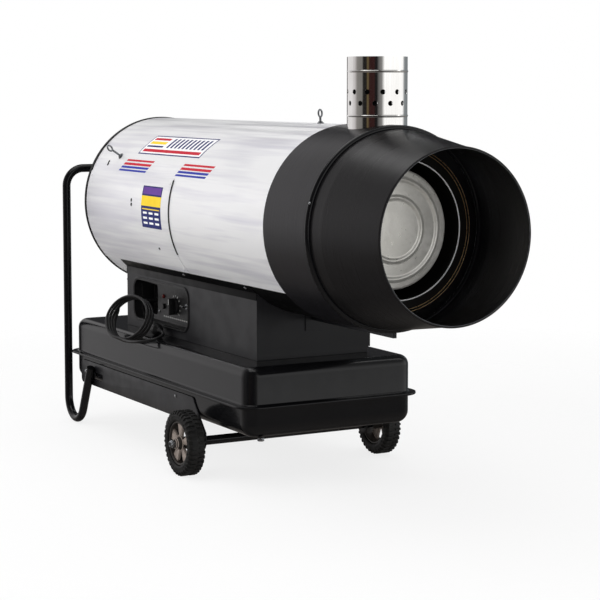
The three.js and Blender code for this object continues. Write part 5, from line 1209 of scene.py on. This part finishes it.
piece("bracket_near", near_bracket, LOOKS["box"], "wheel_bracket_near")
far_bracket = carved("bracket_far", mirrored(bracket_plate), [mirrored(window), mirrored(axle_bore)])
piece("bracket_far", far_bracket, LOOKS["box"], "wheel_bracket_far")
BRACKET_SCREW = (647, 187)
bracket_screws = facing(*BRACKET_SCREW, -BRACKET_FACES[1] + 0.2, 5.2, 3)
piece("bracket_screws", joined(bracket_screws, mirrored(bracket_screws)), LOOKS["zinc"])

# Axle, wheels and cap nuts
at_axle = (WHEEL_PLACE, 0, AXLE_HEIGHT)
axle_shoulder = WHEEL_FACE - WHEEL_WIDTH - 2
axle_end = WHEEL_FACE + 6 + 1 + SEAT + 7
axle_half = [(axle_shoulder, AXLE_RADIUS), (axle_shoulder, AXLE_PIN), (axle_end, AXLE_PIN), (axle_end, 0)]
axle_profile = [(-place, radius) for place, radius in axle_half[::-1]] + axle_half
piece("axle_bar", lathe(rounded(axle_profile, [0, 0.5, 0, 1, 1, 0, 0.5, 0], 4, False), "Y", at_axle, 40),
      LOOKS["tank"], "axle")

half_width = WHEEL_WIDTH / 2
tyre_body = WHEEL_RADIUS - TREAD_RISE
tyre_profile = rounded([
    (-half_width + 2, RIM_RADIUS + 0.6), (-half_width, RIM_RADIUS + 6), (-half_width, tyre_body - 9),
    (-half_width + 7, tyre_body), (half_width - 7, tyre_body), (half_width, tyre_body - 9),
    (half_width, RIM_RADIUS + 6), (half_width - 2, RIM_RADIUS + 0.6)], [1, 3, 6, 5, 5, 6, 3, 1], 5)
LUG_SHARE = 0.36
lug_half = math.pi * tyre_body / TREAD_LUGS * LUG_SHARE
lug_top = AXLE_HEIGHT - 0.05


def lug(side, degrees):
    """A tread lug: a block over the tyre's shoulder, leaning down its flank, with rounded edges."""
    middle, edge = side * 2.4, side * half_width
    outline = [(middle, 70), (edge, 68), (edge, 80), (edge - side * 4.5, lug_top), (middle, lug_top)]
    outline = rounded(outline, [0, 0, 2.5, 2.5, 1.5], 3)
    return turned(prism(outline, (-lug_half, lug_half), "X", 0.8, 2), degrees, "Y")


step = 360 / TREAD_LUGS
tyre_lugs = [lug(side, step * (i + (0.5 if side > 0 else 0))) for side in (-1, 1) for i in range(TREAD_LUGS)]
tyre_shape = joined(lathe(tyre_profile, "Y", sides=96, closed=True), *tyre_lugs)

RIM_INNER, HUB_RADIUS = RIM_RADIUS - 6, 17
rim_lip = half_width - 4.5
barrel_profile = rounded([
    (-rim_lip, RIM_INNER), (-rim_lip, RIM_RADIUS), (rim_lip, RIM_RADIUS), (rim_lip, RIM_INNER)], 2, 4)
barrel = lathe(barrel_profile, "Y", sides=96, closed=True)
HUB_BORE = 8.4
wheel_hub = rounded([
    (-half_width - 6, HUB_BORE), (-half_width - 6, HUB_RADIUS * 0.75), (-rim_lip + 6, HUB_RADIUS),
    (half_width, HUB_RADIUS), (half_width, HUB_BORE)], [0.4, 1.5, 2, 1, 0.4], 4)
hub = lathe(wheel_hub, "Y", sides=48, closed=True)
spoke_outline = rounded([(-HUB_RADIUS * 0.3, 12), (HUB_RADIUS * 0.3, 12), (RIM_INNER * 0.3, RIM_INNER + 3),
                         (-RIM_INNER * 0.3, RIM_INNER + 3)], 1, 2)
spoke = prism(spoke_outline, (-rim_lip + 6, -rim_lip + 15), "Y", 2.2, 4)
rim_shape = joined(barrel, hub)
hub_rings = [ring((0, place, 0), radius, 1.3, "Y", 48)
             for place, radius in ((-rim_lip + 5, HUB_RADIUS + 3), (-half_width - 1, HUB_RADIUS * 0.86),
                                   (-half_width - 5, HUB_RADIUS * 0.72))]
spokes_shape = joined(*[turned(spoke, 72 * i, "Y") for i in range(5)], *hub_rings)
wheel_place = (WHEEL_PLACE, -(WHEEL_FACE - half_width), AXLE_HEIGHT)
nut_foot = WHEEL_FACE + 7
nut_collar = rounded([(-nut_foot - 6, 5), (-nut_foot - 6, 9), (-nut_foot - 13.5, 8.4), (-nut_foot - 13.5, 5)],
                     [0, 0.5, 2.4, 1.2], 4)
nut_shape = moved(joined(
    prism(arc((0, 0), 11.5, 0, 300, 5), (-nut_foot - 8, -nut_foot), "Y", 1.0),
    lathe(nut_collar, "Y", sides=40, closed=True)), at_axle)
nut_middle = moved(rod((0, -nut_foot - 6, 0), (0, -nut_foot - 10.5, 0), 5.2, 0.6), at_axle)
for word, flip in (("near", lambda shape: shape), ("far", mirrored)):
    body = "wheel_" + word
    piece("tread_" + word, flip(moved(tyre_shape, wheel_place)), LOOKS["tyre"], "tyre_" + word, body, 40)
    piece("wheel_disc_" + word, flip(moved(rim_shape, wheel_place)), LOOKS["rim"], "rim_" + word, body, 40)
    piece("spokes_" + word, flip(moved(spokes_shape, wheel_place)), LOOKS["spoke"], (), body, 40)
    piece("cap_nut_" + word, flip(nut_shape), LOOKS["zinc"], "hub_nut_" + word)
    piece("nut_middle_" + word, flip(nut_middle), LOOKS["tank"])

# Handle: one bent tube, and the screws through its ends
foot_corner = HANDLE_RADIUS + HANDLE_BENDS[0] - HANDLE_BENDS[0] * math.tan((math.pi - HANDLE_LEAN) / 2)
handle_corners = [
    (HANDLE_END[0], -HANDLE_SIDE, HANDLE_END[1]), (HANDLE_REAR, -HANDLE_SIDE, foot_corner),
    (HANDLE_REAR, -HANDLE_SIDE, HANDLE_HEIGHT), (HANDLE_REAR, HANDLE_SIDE, HANDLE_HEIGHT),
    (HANDLE_REAR, HANDLE_SIDE, foot_corner), (HANDLE_END[0], HANDLE_SIDE, HANDLE_END[1])]
foot_bend, top_bend = HANDLE_BENDS
handle_path = rounded(handle_corners, [0, foot_bend, top_bend, top_bend, foot_bend, 0], 28, closed=False)
piece("handle_tube", tube(handle_path, HANDLE_RADIUS, 40), LOOKS["tank"], "handle", crease=50)
HANDLE_SCREW = (56.2, 177)
handle_screw = facing(*HANDLE_SCREW, -HANDLE_SIDE - HANDLE_RADIUS - 0.4, 6, 3.4)
piece("handle_bolt_near", handle_screw, LOOKS["zinc"], "handle_screw_near")
piece("handle_bolt_far", mirrored(handle_screw), LOOKS["zinc"], "handle_screw_far")


# Eye bolts in the top of the drum
SHANK_RADIUS, EYE_RADIUS, EYE_WIRE = 3, 9.4, 2.4


def eye_bolt(name, node, along, angle, rise, turn):
    """An eye bolt on the drum, with the length of its shank and its eye's turn round the shank."""
    foot = DRUM_RADIUS + 2 * SUNK
    shank = rod((0, 0, foot), (0, 0, foot + rise), SHANK_RADIUS, 0.4, 20)
    lock = prism(arc((0, 0), 6, 0, 300, 5), (foot, foot + 5.6), "Z", 0.5)
    eye = turned(ring((0, 0, foot + rise + 8.5), EYE_RADIUS, EYE_WIRE, "Y", 48), turn, "Z")
    collar_ring = ring((0, 0, foot + 1), 8, 1.4, "Z", 40)
    piece(name, on_drum(joined(shank, lock, eye, collar_ring), along, angle), LOOKS["bolt"], node)


eye_bolt("eye_rear", "eye_bolt_rear", 175, 34.4, 34.5, -52)
eye_bolt("eye_front", "eye_bolt_front", 1027, 88, 18, 0)

# CAD pieces that are shown as they are, with their real finish
KEPT = {
    "burner_box": "box", "support_bar": "box", "motor_bracket": "box",
    "exchanger_body": "heat", "flue_spigot": "heat", "burner_tube": "heat", "motor_shaft": "zinc",
    "fuel_pump": "brass", "nozzle": "brass", "pressure_line": "copper", "suction_line": "copper",
    "ignition_transformer": "plastic",
}
for node, look in KEPT.items():
    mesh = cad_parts[node].data
    mesh.materials.clear()
    mesh.materials.append(LOOKS[look][0])

# Floor that fades into the white background: the camera sees mostly plain white, and a share of its shadows
FLOOR_RADIUS, FLOOR_CLEAR = 3.2, 1.3
FLOOR_BELOW = 0.5
PLAIN_SHARE = 0.8
floor = placed("floor", to_mesh("floor", moved(
    lathe([(0, 0), (0, FLOOR_RADIUS / MM)], "Z", sides=64), (-DRUM_REAR, 0, -FLOOR_BELOW))))
paper = bpy.data.materials.new("white_paper")
paper.use_nodes = True
tree = paper.node_tree
tree.nodes.clear()
shader = add(tree, "ShaderNodeBsdfPrincipled", {
    "Base Color": linear("ffffff"), "Roughness": 0.9, "Specular IOR Level": 0.2})
path = add(tree, "ShaderNodeLightPath")
place = add(tree, "ShaderNodeTexCoord").outputs["Object"]
reach = add(tree, "ShaderNodeVectorMath", {0: place}, operation="LENGTH").outputs["Value"]
shown = add(tree, "ShaderNodeMapRange", {
    "Value": reach, "From Min": FLOOR_CLEAR, "From Max": FLOOR_RADIUS - 0.2,
    "To Min": 1.0, "To Max": 0.0}).outputs[0]
plain = add(tree, "ShaderNodeEmission", {"Color": linear("ffffff"), "Strength": 1.0})
plain_share = add(tree, "ShaderNodeMath", {
    0: path.outputs["Is Camera Ray"], 1: PLAIN_SHARE}, operation="MULTIPLY").outputs[0]
lit = add(tree, "ShaderNodeMixShader", {0: plain_share, 1: shader.outputs[0], 2: plain.outputs[0]})
clear = add(tree, "ShaderNodeBsdfTransparent")
fade = add(tree, "ShaderNodeMixShader", {0: shown, 1: clear.outputs[0], 2: lit.outputs[0]})
add(tree, "ShaderNodeOutputMaterial", {"Surface": fade.outputs[0]})
floor.data.materials.append(paper)
floor.visible_glossy = False

# Studio

# Reflections see the room itself: the white sweep behind the object, a bright screen ahead of it and darker
# walls between, each place round it in degrees. The camera sees plain white, dull surfaces an even light.
ROOM = (
    (-180, "f0eeef"), (-146, "efedee"), (-127, "cfcbcc"), (-116, "8e8b88"), (-93, "7c7a77"), (-87, "1f1e1d"),
    (-74, "1c1b1a"), (-70, "5c5038"), (-67, "5c5038"), (-62, "2c1918"), (-44, "301b1a"), (-39, "171616"),
    (-32, "1c1b1b"), (-26, "605f5e"), (-14, "7f7e7d"), (-4, "fafafa"), (80, "fafafa"), (94, "8c9194"),
    (130, "82888b"), (142, "3a3a3c"), (160, "3a3a3c"), (172, "f0eeef"), (180, "f0eeef"))
# Light by the ray's upward share, for rays to the rear and to the front: floor nearby, foot of the room,
# screens, ceiling
REAR_HEIGHTS = (
    (-1, 0.12), (-0.5, 0.2), (-0.3, 0.4), (-0.17, 0.62), (-0.03, 0.95), (0.22, 1.0), (0.3, 0.9), (0.5, 0.7),
    (0.62, 0.45), (1, 0.45))
FRONT_HEIGHTS = (
    (-1, 0.4), (-0.3, 0.4), (-0.2, 0.1), (-0.13, 0.1), (-0.11, 1.25), (0.22, 1.25), (0.6, 0.4), (1, 0.4))
BRIGHTEST = 2.0


def spread(ramp, stops):
    """The stops of a colour ramp, each a place from 0 to 1 with its colour."""
    elements = ramp.color_ramp.elements
    for number, (place, colour) in enumerate(stops):
        stop = elements[number] if number < 2 else elements.new(1)
        stop.position, stop.color = place, colour


world = bpy.data.worlds.new("studio")
bpy.context.scene.world = world
world.use_nodes = True
tree = world.node_tree
tree.nodes.clear()
path = add(tree, "ShaderNodeLightPath")
way = add(tree, "ShaderNodeSeparateXYZ", {0: add(tree, "ShaderNodeTexCoord").outputs["Generated"]})
azimuth = add(tree, "ShaderNodeMath", {
    0: way.outputs["Y"], 1: way.outputs["X"]}, operation="ARCTAN2").outputs[0]
whole_turn = add(tree, "ShaderNodeMapRange", {"Value": azimuth, "From Min": -math.pi, "From Max": math.pi})
walls = add(tree, "ShaderNodeValToRGB", {0: whole_turn.outputs[0]})
spread(walls, [((degrees + 180) / 360, linear(code)) for degrees, code in ROOM])
levels = []
for heights in (REAR_HEIGHTS, FRONT_HEIGHTS):
    upward = add(tree, "ShaderNodeMapRange", {"Value": way.outputs["Z"], "From Min": -1, "From Max": 1})
    ramp = add(tree, "ShaderNodeValToRGB", {0: upward.outputs[0]})
    spread(ramp, [((height + 1) / 2, (level / BRIGHTEST,) * 3 + (1,)) for height, level in heights])
    levels.append(ramp.outputs[0])
forward = add(tree, "ShaderNodeMapRange", {"Value": way.outputs["X"], "From Min": -0.2, "From Max": 0.2})
level = add(tree, "ShaderNodeMix", {
    0: forward.outputs[0], 6: levels[0], 7: levels[1]}, data_type="RGBA").outputs[2]
strength = add(tree, "ShaderNodeMath", {0: level, 1: BRIGHTEST}, operation="MULTIPLY").outputs[0]
near_floor = add(tree, "ShaderNodeMapRange", {
    "Value": way.outputs["Z"], "From Min": -0.3, "From Max": -0.2, "To Min": 1, "To Max": 0}).outputs[0]
colour = add(tree, "ShaderNodeMix", {
    0: near_floor, 6: walls.outputs[0], 7: linear("cfc8c2")}, data_type="RGBA").outputs[2]
room = add(tree, "ShaderNodeBackground", {"Color": colour, "Strength": strength})
around = add(tree, "ShaderNodeBackground", {"Color": linear("ffffff"), "Strength": 0.5})
seen = add(tree, "ShaderNodeBackground", {"Color": linear("ffffff"), "Strength": 1.0})
reflected = add(tree, "ShaderNodeMixShader", {
    0: path.outputs["Is Glossy Ray"], 1: around.outputs[0], 2: room.outputs[0]})
chosen = add(tree, "ShaderNodeMixShader", {
    0: path.outputs["Is Camera Ray"], 1: reflected.outputs[0], 2: seen.outputs[0]})
add(tree, "ShaderNodeOutputWorld", {"Surface": chosen.outputs[0]})


def softbox(name, place, size, power, target=(0, 0, 0.6), mirrored_too=True):
    """A rectangular lamp that faces a place; the camera doesn't see it, and reflections only if wanted."""
    data = bpy.data.lights.new(name, "AREA")
    data.shape = "RECTANGLE"
    data.size, data.size_y = size
    data.energy = power
    lamp = bpy.data.objects.new(name, data)
    bpy.context.scene.collection.objects.link(lamp)
    lamp.location = place
    lamp.rotation_euler = (Vector(place) - Vector(target)).to_track_quat("Z", "Y").to_euler()
    lamp.visible_camera = False
    lamp.visible_glossy = mirrored_too


softbox("top_box", (-0.4, -0.5, 4.0), (4.0, 2.6), 52)
softbox("left_box", (-1.4, -3.6, 1.5), (2.6, 1.8), 60, (-0.2, 0, 0.7), False)
softbox("front_box", (3.6, -4.4, 2.6), (1.6, 1.6), 14, mirrored_too=False)
softbox("back_box", (-2.33, 1.63, 2.05), (0.5, 0.4), 2)
softbox("outlet_box", (3.5, -0.9, 0.85), (0.8, 0.8), 24, (0.6, 0, 0.69), False)
softbox("strip_box", (0.82, 1.68, 3.3), (0.4, 2.5), 6)

bpy.context.scene.view_settings.view_transform = "Standard"
